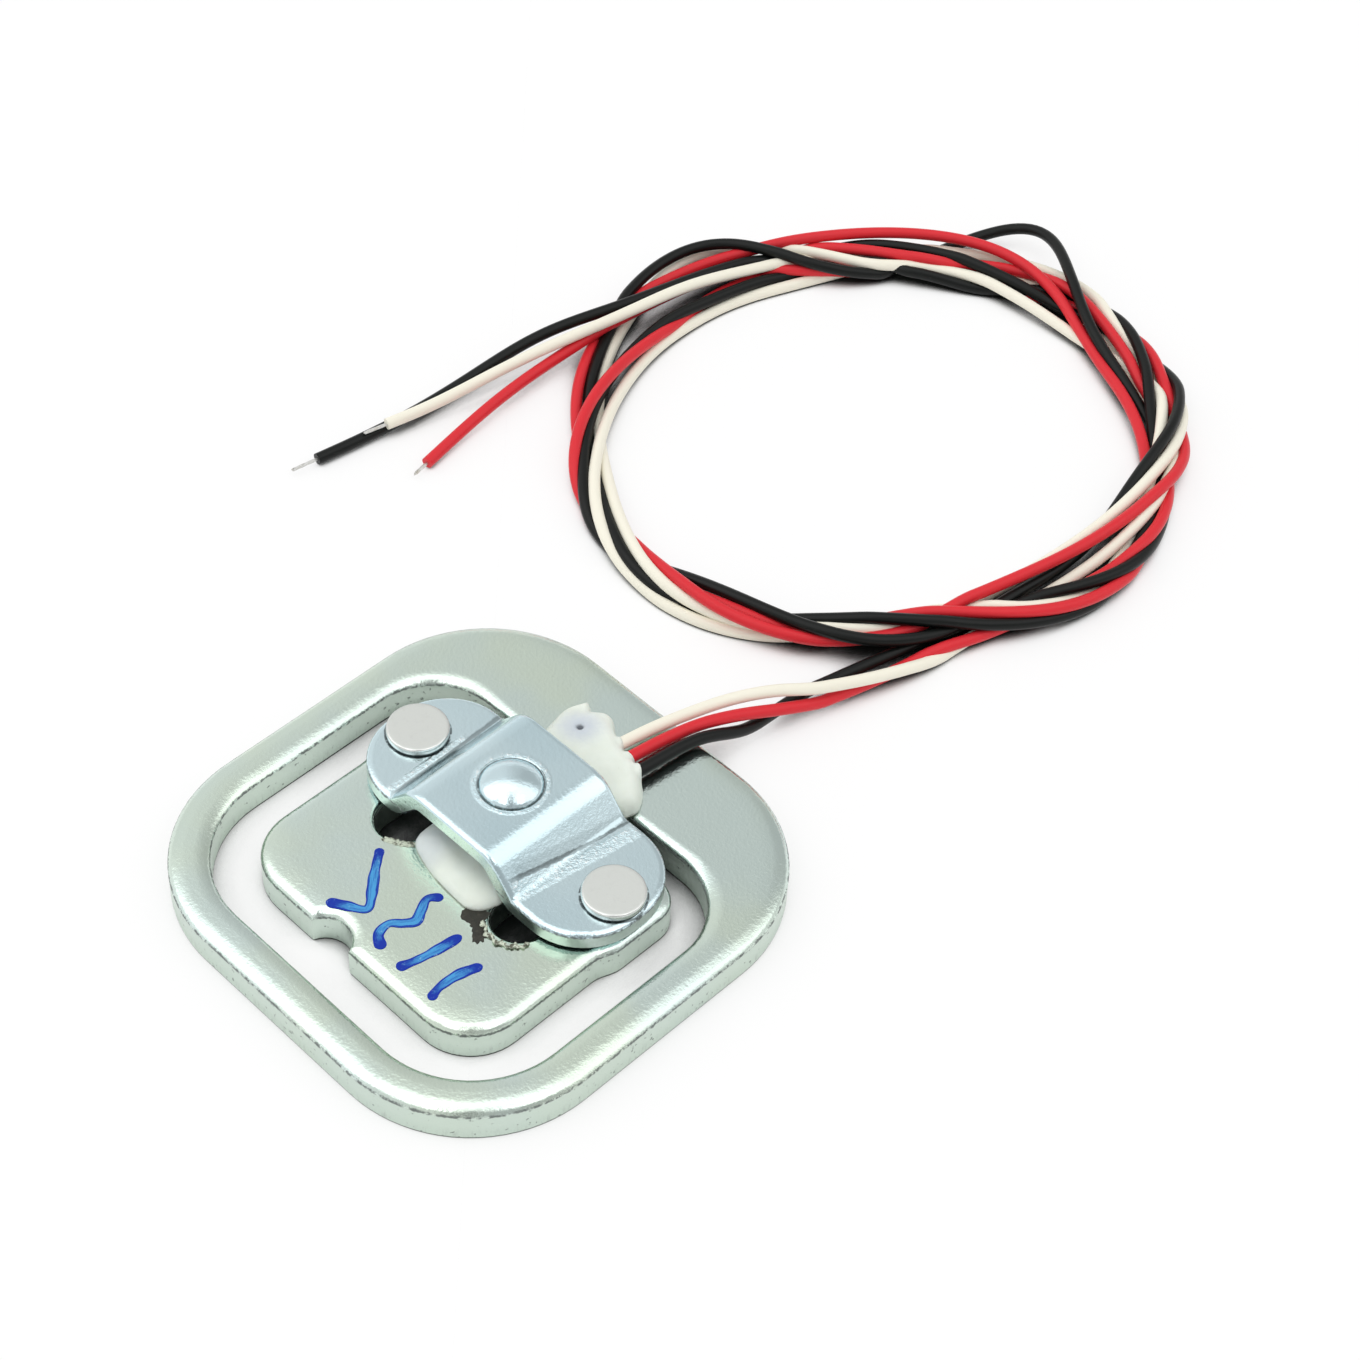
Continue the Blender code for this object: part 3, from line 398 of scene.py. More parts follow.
# %% A finish
class Finish(Tree):
    """The tree of a material or of the world."""

    def __init__(self, owner):
        owner.use_nodes = True
        self.owner = owner
        super().__init__(owner.node_tree)

    def facing_up(self):
        """1 where the surface faces up, 0 on a wall and -1 where it faces down."""
        return self.node("NewGeometry", out="Normal").axis("Z")

    def millimetres(self, shares=(1.0, 1.0, 1.0)):
        """Place on the piece in millimetres, each axis times its share."""
        place = self.node("TexCoord", out="Object")
        scale = tuple(share / MM for share in shares)
        return self.node("Mapping", {"Vector": place, "Scale": scale})

    def from_point(self, middle):
        """Distance in millimetres from a point, seen from above."""
        values = {0: self.millimetres((1.0, 1.0, 0.0)), 1: (*middle, 0.0)}
        return self.node("VectorMath", values, out="Value", operation="DISTANCE")

    def noise(self, place, size, detail=3.0, roughness=0.5):
        """Cloudy value between 0 and 1, whose lumps are about size millimetres."""
        values = {"Vector": place, "Scale": 1 / size, "Detail": detail, "Roughness": roughness}
        return self.node("TexNoise", values)

    def coats(self, colour, *layers):
        """A colour under others, each with the share of it that shows."""
        for share, above in layers:
            colour = self.node("Mix", {0: share, 6: colour, 7: above}, out=2, data_type="RGBA")
        return colour

    def bump(self, height, depth_mm, normal=None):
        """Surface normal over a height, whose full range is depth_mm deep."""
        values = {"Height": height, "Distance": depth_mm * MM, "Strength": 1.0}
        if normal is not None:
            values["Normal"] = normal
        return self.node("Bump", values)

    def surface(self, **values):
        """End the material in a Principled shader with these values."""
        named = {key.replace("_", " "): value for key, value in values.items()}
        shader = self.node("BsdfPrincipled", named)
        self.node("OutputMaterial", {"Surface": shader})
        return self.owner


def new_finish(name):
    return Finish(bpy.data.materials.new(name))


# %% [markdown]
# ## Floor, sky and light
#
# The studio is a white table in a light tent. Behind the cell the tent is a calm grey, which
# is what the flat metal mirrors. A bright arch of cloth runs from left to right overhead and
# fades out towards the horizon, and rolled edges that lean towards the camera mirror it and
# turn white. The grey is a little lighter on the left. Two soft boxes stand beside the
# camera, and a dark gap in the cloth parts them: they are the two windows in the polished
# button.

# %% The tent
CAMERA_SIDE = (-0.739, -0.674, 0.0)
CAMERA_RIGHT = (0.674, -0.739, 0.0)
GREY_BY_SIDE = [(0.0, 0.68), (0.24, 0.70), (0.40, 0.78), (0.60, 0.76), (0.72, 0.70), (1.0, 0.62)]
ARCH_BY_SIDE = [(0.26, 0.0), (0.375, 0.82), (0.63, 0.82), (0.70, 0.0)]
ARCH_FADE = (0.20, 0.55)
HORIZON_SOFT = (0.04, 0.30)
LEFT_GAIN = 0.7
LEFT_REACH = 0.3
GAP_WIDTH = (0.02, 0.08)
GAP_START = (0.0, 0.2)
GAP_DEPTH = 0.75

bpy.context.scene.view_settings.view_transform = "Standard"
tent = Finish(bpy.data.worlds.new("light_tent"))
bpy.context.scene.world = tent.owner
direction = tent.node("TexCoord", out="Generated")
side, right = (
    tent.node("VectorMath", {0: direction, 1: axis}, out="Value", operation="DOT_PRODUCT")
    for axis in (CAMERA_SIDE, CAMERA_RIGHT))
grey, arch = (
    tent.node("ValToRGB", {"Fac": side * 0.5 + 0.5}, stops=stops)
    for stops in (GREY_BY_SIDE, ARCH_BY_SIDE))
height = direction.axis("Z")
grey = grey * (1 - right.limited(-LEFT_REACH, LEFT_REACH) * LEFT_GAIN)
cloth = grey + arch * height.between(*ARCH_FADE)
gap = (1 - abs(right).between(*GAP_WIDTH)) * side.between(*GAP_START)
cloth = cloth * (1 - gap * GAP_DEPTH)
above = height.between(*HORIZON_SOFT)
strength = cloth * above + (1 - above)
tent.node("OutputWorld", {"Surface": tent.node("Background", {"Color": (1, 1, 1), "Strength": strength})})

# %% [markdown]
# The table is white by its own colour. To the camera, and in metal, it shows most of a plain
# white that no shadow darkens, as an overexposed table does, but only where it lies open:
# ambient occlusion takes that white away in holes and right under the wires, and paints a
# near black shade into the table's colour at the bottom of the deepest holes.

# %% The table
FLOOR_HALF = 2.0
FLOOR_WHITE = 0.72
WHITE_RAYS = ("Camera", "Glossy", "Transmission")
HOLE_SIZE = 6 * MM
OPEN_ENOUGH = (0.26, 0.66)
# painted shade at the bottom of deep holes: how open a hole is where it starts and ends, and its colour
HOLE_SHADE_OPENNESS = (0.20, 0.52)
HOLE_SHADE_COLOUR = (0.02, 0.023, 0.022)
PAPER_COLOUR = (0.92, 0.92, 0.92)
bpy.ops.mesh.primitive_plane_add(size=2 * FLOOR_HALF, location=(0, 0, 0))
floor = bpy.context.object
floor.name = "white_table"
table_top = new_finish("white_table")
seen = sum((table_top.node("LightPath", out=f"Is {ray} Ray") for ray in WHITE_RAYS), 0)
openness = table_top.node("AmbientOcclusion", {"Distance": HOLE_SIZE}, out="AO", samples=16)
share = openness.between(*OPEN_ENOUGH) * seen.between(0.0, 1.0) * FLOOR_WHITE
# painted shade: the paper's colour turns near black where ambient occlusion finds a deep hole
paper_with_hole_shade = table_top.coats(HOLE_SHADE_COLOUR, (openness.between(*HOLE_SHADE_OPENNESS), PAPER_COLOUR))
paper = table_top.node("BsdfDiffuse", {"Color": paper_with_hole_shade})
glow = table_top.node("Emission", {"Color": (1, 1, 1), "Strength": 1.0})
table_top.node("OutputMaterial", {"Surface": table_top.node("MixShader", {0: share, 1: paper, 2: glow})})
floor.data.materials.append(table_top.owner)

# %% Two soft boxes, left and right of the camera
LAMPS = {"left_box": (-0.40, -0.09, 0.60), "right_box": (-0.02, -0.41, 0.60)}
LAMP_SIDES = (0.24, 0.30)
LAMP_WATTS = 0.28
for name, spot in LAMPS.items():
    lamp_data = bpy.data.lights.new(name, "AREA")
    lamp_data.shape = "RECTANGLE"
    lamp_data.size, lamp_data.size_y = LAMP_SIDES
    lamp_data.energy = LAMP_WATTS
    lamp = placed(name, lamp_data)
    lamp.location = spot
    lamp.rotation_euler = (-lamp.location).to_track_quat("-Z", "Y").to_euler()
    print(name, round(lamp.location.length, 2), "m away")

# %% [markdown]
# ## Finishes
#
# Zinc plating is a thin bright skin that went dull in the air: its colour drifts slowly from
# grey to a faint green, it carries rubbed spots, and its reflections wander because rolled
# steel is never quite flat. Cut walls are rougher, and torn below where the punch broke out.


# %% Zinc plated steel
WALL_COLOUR = (0.60, 0.70, 0.62)


def soft_roll(x, y, roll):
    """Height in mm of a surface that falls away softly near the side of a rounded rectangle."""
    middle_x, middle_y, half_x, half_y, corner, reach, drop = roll
    over_x = (abs(x - middle_x) - (half_x - corner)).math("MAXIMUM", 0.0)
    over_y = (abs(y - middle_y) - (half_y - corner)).math("MAXIMUM", 0.0)
    inward = corner - (over_x * over_x + over_y * over_y).math("SQRT")
    near = (reach - inward).limited(0.0, reach) * (1 / reach)
    return near * near * -drop


def press_marks_and_bend_shade(x, y, dust, marks_and_shade):
    """How scraped the press left the metal along some nearly straight lines, and how dark painted shade
    makes the ones that follow a bend.
    """
    scraped = shade = 0.0
    for lean, start_y, half_width, low_x, high_x, scrape, shade_strength in marks_and_shade:
        away = abs(y - x * lean - start_y) + dust.wobble(0.3)
        ends = x.between(low_x, low_x + 0.6) * (1 - x.between(high_x - 0.6, high_x))
        mark = (1 - away.between(half_width * 0.4, half_width)) * ends
        scraped = scraped + mark * scrape
        # painted shade: the line darkens where it follows a bend of the bracket
        shade = shade + mark * shade_strength
    return scraped, shade


def plated_steel(name, dark, light, roughness, seam, wall_top, marks_and_shade=(), shade_and_wear_rings=(), rolls=()):
    """Zinc plate, with its rolled edge above the seam and a cut wall that is torn lower down, and painted
    shade at the wall's foot, along bends and round rings.
    """
    finish = new_finish(name)
    place = finish.millimetres()
    cloud = finish.noise(place, 9.0, 2.0, 0.5)
    wave = finish.noise(place, 4.0, 2.0, 0.4)
    grain = finish.noise(place, 0.24, 3.0, 0.65)
    dust = finish.noise(place, 0.5, 5.0, 0.7)
    streaks = finish.noise(finish.millimetres((1.0, 1.0, 0.16)), 0.28, 3.0, 0.65)
    wall = 1 - abs(finish.facing_up()).between(0.2, 0.5)
    x, y, z = (place.axis(letter) for letter in "XYZ")
    torn = wall * (1 - (z + streaks * 0.9).between(wall_top * 0.45, wall_top * 0.8))
    burr = 1 - abs(z - seam + grain.wobble(0.3)).between(0.05, 0.13)
    burr = burr * dust.between(0.40, 0.54)
    # painted shade: the wall darkens just above the table, where its contact shadow falls
    wall_foot_shade = (1 - (z + dust.wobble(0.2)).between(0.03, 0.16)) * wall
    pits = wall * finish.noise(place, 0.35, 3.0).between(0.66, 0.72)
    specks = dust.between(0.66, 0.74)
    scraped, shade = press_marks_and_bend_shade(x, y, dust, marks_and_shade)
    # painted shade: a dark line round the button's foot and round each rivet head; the speckled halo outside
    # it is wear
    for middle, radius, shade_strength, speckled in shade_and_wear_rings:
        away = finish.from_point(middle)
        line = 1 - abs(away - radius + grain.wobble(0.1)).between(0.03, 0.11)
        shade = shade + line * dust.between(0.34, 0.48) * shade_strength
        halo = away.between(radius + 0.08, radius + 0.15)
        halo = halo * (1 - away.between(radius + 0.3, radius + 0.55))
        scraped = scraped + halo * speckled
    dull = specks * 0.2 + streaks.between(0.5, 0.75) * torn * 0.45
    bare = grain.between(0.56, 0.62) * scraped * 0.7
    # grime is the burr and the pits, with painted shade from the wall's foot, the bends and the rings
    grime_and_painted_shade = (burr * 0.85 + pits * 0.6 + wall_foot_shade * 0.5 + shade).limited(0.0, 0.95)
    colour = finish.coats(
        dark, (cloud.between(0.35, 0.65), light), (wall * 0.8, WALL_COLOUR),
        (dull, (0.36, 0.40, 0.37)), (bare, (0.95, 1.0, 1.0)), (grime_and_painted_shade, (0.05, 0.06, 0.06)))
    rough = roughness + grain.wobble(0.12) + specks * 0.1 + wall * 0.16 + torn * 0.12 + scraped * 0.14
    sagging = wave * 0.03 + sum((soft_roll(x, y, roll) for roll in rolls), 0.0)
    waves = finish.bump(sagging, 1.0)
    fine = finish.bump(grain * (1 + scraped * 3.0), 0.022, waves)
    cut = finish.bump(streaks * torn + pits * -0.8, 0.02, fine)
    return finish.surface(Base_Color=colour, Metallic=1 - burr, Roughness=rough, Normal=cut)


# middle, half sides and corner of a rounded rectangle, how far in it bends, how far it drops
FRAME_ROLL = (0.0, 0.0, PLATE_HALF, PLATE_HALF, 10.1, 1.9, 0.115)
TONGUE_ROLL = (-4.1, 0.0, 7.0, 11.0, 4.0, 2.2, 0.17)
zinc = plated_steel(
    "zinc_plate", (0.70, 0.80, 0.69), (0.67, 0.78, 0.74), roughness=0.15, seam=2.2, wall_top=2.3,
    rolls=(FRAME_ROLL, TONGUE_ROLL))
# lean, y where x is 0, half width, from x, to x, how scraped, how dark its painted bend shade is
BRACKET_MARKS_AND_SHADE = [
    (0.03, 6.30, 0.30, -1.8, 8.2, 0.0, 0.55),
    (0.0, 6.85, 0.30, -1.9, 5.2, 1.0, 0.0),
    (-0.12, -4.62, 0.15, -1.8, 8.6, 0.0, 0.55),
    (-0.105, -4.38, 0.42, -1.2, 8.6, 0.0, 0.20),
    (-0.15, -5.25, 0.70, -1.8, 8.4, 1.0, 0.0),
]
RIVET_X, RIVET_Y = 2.95, 9.2
# middle, radius, how dark its painted shade line is, how speckled with wear its outer side
BRACKET_SHADE_AND_WEAR_RINGS = [
    ((3.1, 0.4), 2.12, 0.75, 0.9),
    ((RIVET_X, RIVET_Y), 2.15, 0.85, 0.0),
    ((RIVET_X, -RIVET_Y), 2.15, 0.85, 0.0),
]
blue_zinc = plated_steel(
    "blue_zinc", (0.61, 0.77, 0.82), (0.68, 0.83, 0.87), roughness=0.12, seam=3.96, wall_top=6.0,
    marks_and_shade=BRACKET_MARKS_AND_SHADE, shade_and_wear_rings=BRACKET_SHADE_AND_WEAR_RINGS)


# %% Rivet steel, dull on its pressed face and bright on its rim, with painted shade under its head
HEAD_FOOT = 4.2


def rivet_steel():
    finish = new_finish("worn_rivet_steel")
    place = finish.millimetres()
    face = finish.facing_up().between(0.9, 0.99)
    dust = finish.noise(place, 0.6, 6.0, 0.7)
    grain = finish.noise(place, 0.12, 3.0, 0.6)
    z = place.axis("Z") - HEAD_FOOT + dust.wobble(0.1)
    # painted shade: the side of the head darkens just above the bracket, where the head meets it
    shade_under_head = z.between(-0.2, 0.0) * (1 - z.between(0.10, 0.22))
    colour = finish.coats(
        (0.70, 0.72, 0.70), (face, (0.69, 0.71, 0.68)),
        (dust.between(0.5, 0.75) * 0.25, (0.56, 0.57, 0.54)), (shade_under_head * 0.85, (0.06, 0.07, 0.07)))
    rough = 0.20 + face * 0.30 + dust * 0.06
    normal = finish.bump(grain + dust, 0.006)
    return finish.surface(Base_Color=colour, Metallic=0.9, Roughness=rough, Normal=normal)


rivet_finish = rivet_steel()


# %% [markdown]
# Wire insulation is soft plastic, drawn through a round die: nearly smooth, with a faint
# orange peel that breaks up its highlight. Sealant is silicone that was dabbed on and cured
# with a dull skin, whiter where it is thick.

# %% Insulation
def insulation(name, colour, worn, roughness):
    finish = new_finish(name)
    place = finish.millimetres()
    drift = finish.noise(place, 9.0, 2.0)
    peel = finish.noise(place, 0.35, 3.0, 0.6)
    scuff = finish.noise(place, 1.1, 6.0, 0.75).between(0.6, 0.8)
    shade = finish.coats(colour, (drift * 0.35 + scuff * 0.35, worn))
    rough = roughness + peel * 0.08 + scuff * 0.18
    normal = finish.bump(peel + scuff * 0.4, 0.01)
    return finish.surface(
        Base_Color=shade, Roughness=rough, Normal=normal, IOR=1.5, Specular_IOR_Level=0.22)


jacket_finish = {
    "white": insulation("white_vinyl", (0.88, 0.85, 0.73), (0.80, 0.76, 0.63), 0.33),
    "red": insulation("red_vinyl", (0.70, 0.027, 0.038), (0.55, 0.022, 0.030), 0.3),
    "black": insulation("black_vinyl", (0.004, 0.005, 0.0045), (0.010, 0.012, 0.011), 0.3),
}


# %% Sealant and tin
BUBBLE_PLACE = (11.15, 2.45)
THIN_END = (-2.5, 2.6)


def sealant_finish():
    """White silicone, bluish where it is thin or round a burst bubble, with painted shade at its foot and
    inside the bubble.
    """
    finish = new_finish("ivory_sealant")
    place = finish.millimetres()
    thick = finish.noise(place, 2.5, 3.0)
    skin = finish.noise(place, 0.3, 4.0, 0.65)
    specks = finish.noise(place, 0.22, 2.0).between(0.76, 0.82)
    z = place.axis("Z") - PLATE_THICK
    # painted shade: darker at the foot, where the sealant meets the plate
    foot = (1 - (z + skin.wobble(0.3)).between(0.08, 0.24)) * thick.between(0.36, 0.5)
    away = finish.from_point(BUBBLE_PLACE)
    from_thin = finish.from_point(THIN_END) + thick.wobble(2.0)
    halo = 1 - (away + skin.wobble(0.8)).between(0.3, 2.3) + (1 - from_thin.between(0.6, 2.6)) * 0.6
    # painted shade: near black inside the burst bubble
    bubble_shade = 1 - (away + skin.wobble(0.3)).between(0.14, 0.34)
    # the grey coat is dirt on the specks and painted shade at the foot
    colour = finish.coats(
        (0.73, 0.78, 0.70), (thick.between(0.3, 0.7), (0.80, 0.85, 0.78)),
        (halo * 0.8, (0.52, 0.57, 0.65)), (specks * 0.4 + foot * 0.7, (0.30, 0.32, 0.27)),
        (bubble_shade * 0.9, (0.07, 0.08, 0.10)))
    rough = 0.36 + skin * 0.2
    normal = finish.bump(skin, 0.02, finish.bump(thick, 0.12))
    return finish.surface(
        Base_Color=colour, Roughness=rough, Normal=normal,
        Subsurface_Weight=0.25, Subsurface_Radius=(1.0, 0.9, 0.8), Subsurface_Scale=0.6 * MM)


def tin_finish():
    finish = new_finish("tinned_strands")
    place = finish.millimetres()
    flux = finish.noise(place, 0.4, 5.0, 0.7)
    colour = finish.coats((0.70, 0.70, 0.68), (flux.between(0.45, 0.7), (0.52, 0.50, 0.44)))
    return finish.surface(
        Base_Color=colour, Metallic=1.0, Roughness=0.2 + flux * 0.25, Normal=finish.bump(flux, 0.01))


seal_finish = sealant_finish()
tin = tin_finish()

# %% [markdown]
# ## The wires
#
# A jacket is one round profile that follows a path, which is what Curve to Mesh does in
# Geometry Nodes. One tree with a radius, a number of sides and a finish makes all three
# jackets, and the thin strands of their bare ends too.


# %% A tree that draws a round jacket along a path
class Shaping(Tree):
    """A Geometry Nodes tree with a geometry in, a geometry out and these named inputs."""

    def __init__(self, name, inputs):
        super().__init__(bpy.data.node_groups.new(name, "GeometryNodeTree"))
        face = self.tree.interface
        for way in ("INPUT", "OUTPUT"):
            face.new_socket("Geometry", in_out=way, socket_type="NodeSocketGeometry")
        for label, kind in inputs.items():
            face.new_socket(label, in_out="INPUT", socket_type="NodeSocket" + kind)
        source = self.tree.nodes.new("NodeGroupInput")
        self.given = {label: Socket(self, source.outputs[label]) for label in ("Geometry", *inputs)}

    def finished(self, geometry):
        """End the tree in smooth, real faces of the given finish."""
        soft = self.node("GeometryNodeSetShadeSmooth", {"Geometry": geometry})
        real = self.node("GeometryNodeRealizeInstances", {"Geometry": soft})
        values = {"Geometry": real, "Material": self.given["Finish"]}
        self.node("NodeGroupOutput", {"Geometry": self.node("GeometryNodeSetMaterial", values)})
        return self.tree


def jacket_tree():
    jacket = Shaping("round_jacket", {"Radius": "Float", "Sides": "Int", "Finish": "Material"})
    given = jacket.given
    ring = jacket.node("GeometryNodeCurvePrimitiveCircle", {
        "Radius": given["Radius"], "Resolution": given["Sides"]})
    return jacket.finished(jacket.node("GeometryNodeCurveToMesh", {
        "Curve": given["Geometry"], "Profile Curve": ring, "Fill Caps": True}))


def baked(name, start, tree, values):
    """Run a tree on an object and keep the result as a plain mesh."""
    modifier = start.modifiers.new("tree", "NODES")
    modifier.node_group = tree
    for item in tree.interface.items_tree:
        if item.item_type == "SOCKET" and item.in_out == "INPUT" and item.name in values:
            modifier[item.identifier] = values[item.name]
    bpy.context.view_layer.update()
    evaluated = start.evaluated_get(bpy.context.evaluated_depsgraph_get())
    mesh = bpy.data.meshes.new_from_object(evaluated)
    mesh.name = name
    bpy.data.objects.remove(start, do_unlink=True)
    return placed(name, mesh)


def path_object(name, points):
    """A curve object along points in millimetres."""
    curve = bpy.data.curves.new(name, "CURVE")
    curve.dimensions = "3D"
    spline = curve.splines.new("POLY")
    spline.points.add(len(points) - 1)
    for point, spot in zip(spline.points, points):
        point.co = (*(float(c) * MM for c in spot), 1.0)
    return placed(name, curve)


# %% Bare ends: seven strands with a slight twist, run together by solder
TIP_LENGTHS = {"white": 1.9, "red": 1.4, "black": 2.1}
TIP_UNEVEN = 0.08
STRANDS = 7
STRAND_RADIUS = 0.042
STRAND_SIDES = 8
STRAND_STEPS = 14
STRAND_INSIDE = 0.6
SOLDER_SHARE = 1.12
TWIST_PITCH = 4.5


def strand_points(start, direction, length, number):
    """Centre line of one strand; number 0 is the straight one in the middle."""
    side = direction.cross(Vector((0, 0, 1))).normalized()
    up = side.cross(direction)
    offset = 0.0 if number == 0 else 2 * STRAND_RADIUS
    points = []
    for along in np.linspace(-STRAND_INSIDE, length - TIP_UNEVEN * (number % 3), STRAND_STEPS):
        angle = 2 * math.pi * (along / TWIST_PITCH + number / (STRANDS - 1))
        points.append(start + direction * along + (side * math.cos(angle) + up * math.sin(angle)) * offset)
    return points


# %% Three wires and their bare ends
JACKET_SIDES = 14
jackets = jacket_tree()
for colour, line in centre_lines.items():
    jacket = baked(f"wire_{colour}", path_object("path", line), jackets, {
        "Radius": WIRE_DIAMETER / 2 * MM, "Sides": JACKET_SIDES, "Finish": jacket_finish[colour]})
    end = Vector(line[-1])
    direction = (end - Vector(line[-3])).normalized()
    strands = []
    for number in range(STRANDS):
        points = strand_points(end, direction, TIP_LENGTHS[colour], number)
        strands.append(baked("strand", path_object("path", points), jackets, {
            "Radius": STRAND_RADIUS * SOLDER_SHARE * MM, "Sides": STRAND_SIDES, "Finish": tin}))
    bpy.ops.object.select_all(action="DESELECT")
    for strand in strands:
        strand.select_set(True)
    bpy.context.view_layer.objects.active = strands[0]
    bpy.ops.object.join()
    tip = strands[0]
    tip.name = f"bare_end_{colour}"
    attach(jacket, "root")
    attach(tip, "root")
    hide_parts(f"wire_lead_{colour}", f"wire_tail_{colour}", "wire_coil")
    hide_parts(f"wire_tip_{colour}")
    print(jacket.name, len(jacket.data.polygons), "faces")

# %% [markdown]
# ## Metal parts
#
# The CAD shapes of the plate and the bracket are right, so they are only finished: a copy
# has its loose triangles merged, and normals weighted by area keep the flats flat and let
# the rolled edges turn smoothly.


# %% Finished copies of CAD pieces
SAME_POINT = 1e-7
STILL_FLAT = math.radians(0.5)
STRONGEST = 100


def smooth_piece(name, form, finish, sharp_angle):
    """A piece from a built form, smooth but for edges that turn by more than this angle."""
    mesh = bpy.data.meshes.new(name)
    form.to_mesh(mesh)
    form.free()
    mesh.materials.append(finish)
    mesh.shade_smooth()
    mesh.set_sharp_from_angle(angle=math.radians(sharp_angle))
    return placed(name, mesh)


def finished_copy(name, node, finish):
    """A smooth piece made from a copy of a CAD node, which it stands for."""
    form = bmesh.new()
    form.from_mesh(frame["nodes"][node].data)
    bmesh.ops.remove_doubles(form, verts=form.verts, dist=SAME_POINT)
    bmesh.ops.dissolve_limit(form, angle_limit=STILL_FLAT, verts=form.verts, edges=form.edges)
    piece = smooth_piece(name, form, finish, sharp_angle=30)
    weigh = piece.modifiers.new("flat_faces_stay_flat", "WEIGHTED_NORMAL")
    weigh.keep_sharp = True
    weigh.weight = STRONGEST
    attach(piece, "root")
    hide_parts(node)
    print(name, len(piece.data.polygons), "faces")


finished_copy("stamped_plate", "sensor_plate", zinc)
finished_copy("riveted_bracket", "load_bracket", blue_zinc)

# %% [markdown]
# A semi-tubular rivet is a turned shape: a head with a rounded rim, a shank, and a hollow
# tail that the press rolled outwards. The tree below bends a flat grid into that shape. One
# side of the grid goes round, and the other goes along the profile, which two Float Curves
# hold as radius and height. It then puts one rivet at each end of the bracket.

# %% Profile of a rivet, from the hollow of its tail to the middle of its head
RIVET_PROFILE = [
    (0.0, 0.75), (0.50, 0.70), (0.55, 0.10), (0.62, 0.03), (1.25, 0.03), (1.34, 0.12),
    (1.05, 0.62), (1.0, 0.80), (1.0, 4.24), (2.02, 4.24), (2.10, 4.32), (2.10, 4.64),
    (2.07, 4.74), (2.00, 4.79), (1.90, 4.80), (1.80, 4.80), (0.0, 4.80),
]
RIVET_RADII, RIVET_HEIGHTS = zip(*RIVET_PROFILE)
RIVET_SIDES = 64
RIVET_WELD = 0.001
RIVET_SHARP = math.radians(40)


def profile_curve(tree, along, values):
    """A Float Curve, straight between evenly spaced values, as shares of the largest."""
    largest, last = max(values), len(values) - 1
    node = tree.tree.nodes.new("ShaderNodeFloatCurve")
    points = node.mapping.curves[0].points
    points[0].location = (0.0, values[0] / largest)
    points[1].location = (1.0, values[-1] / largest)
    for k in range(1, last):
        points.new(k / last, values[k] / largest)
    for point in points:
        point.handle_type = "VECTOR"
    node.mapping.update()
    tree.feed(node.inputs["Value"], along)
    return Socket(tree, node.outputs[0])


def rivet_tree():
    rivet = Shaping("turned_rivets", {
        "Sides": "Int", "Radius": "Float", "Height": "Float", "Place": "Float", "Spacing": "Float",
        "Finish": "Material"})
    given = rivet.given
    grid = rivet.node("GeometryNodeMeshGrid", {
        "Size X": 1.0, "Size Y": 1.0, "Vertices X": given["Sides"], "Vertices Y": len(RIVET_PROFILE)})
    spot = rivet.node("GeometryNodeInputPosition")
    turn, along = (spot.axis(letter) + 0.5 for letter in "XY")
    turn = turn * (2 * math.pi)
    radius = profile_curve(rivet, along, RIVET_RADII) * given["Radius"]
    height = profile_curve(rivet, along, RIVET_HEIGHTS) * given["Height"]
    around = rivet.node("CombineXYZ", {
        "X": radius * turn.math("COSINE"), "Y": radius * turn.math("SINE"), "Z": height})
    bend = rivet.node("GeometryNodeSetPosition", {"Geometry": grid, "Position": around})
    weld = rivet.node("GeometryNodeMergeByDistance", {"Geometry": bend, "Distance": RIVET_WELD * MM})
    left, right = (rivet.node("CombineXYZ", {"X": given["Place"], "Y": given["Spacing"] * way})
                   for way in (1.0, -1.0))
    both = rivet.node("GeometryNodeMeshLine", {
        "Count": 2, "Start Location": left, "Offset": right}, mode="END_POINTS")
    return rivet.finished(rivet.node("GeometryNodeInstanceOnPoints", {
        "Points": both, "Instance": weld}))


rivets = baked("rivets", path_object("start", [(0, 0, 0), (0, 0, 1)]), rivet_tree(), {
    "Sides": RIVET_SIDES + 1, "Radius": max(RIVET_RADII) * MM, "Height": max(RIVET_HEIGHTS) * MM,
    "Place": RIVET_X * MM, "Spacing": RIVET_Y * MM, "Finish": rivet_finish})
rivets.data.set_sharp_from_angle(angle=RIVET_SHARP)
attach(rivets, "root")
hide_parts("rivet_left", "rivet_right")
sides = [round(side / MM, 2) for side in rivets.dimensions]
print("rivets", len(rivets.data.polygons), "faces,", sides, "mm")

# %% [markdown]
# ## Sealant
#
# The sealant was dabbed on and sagged before it cured: steep at its rim, flat on top, with
# soft lumps, a small burst bubble, and a collar where it creeps up each wire. Seen from
# above it is a height over an outline, so it is made as one: points spread evenly inside the
# outline, each lifted by a sum of simple rules, and a flat underside.

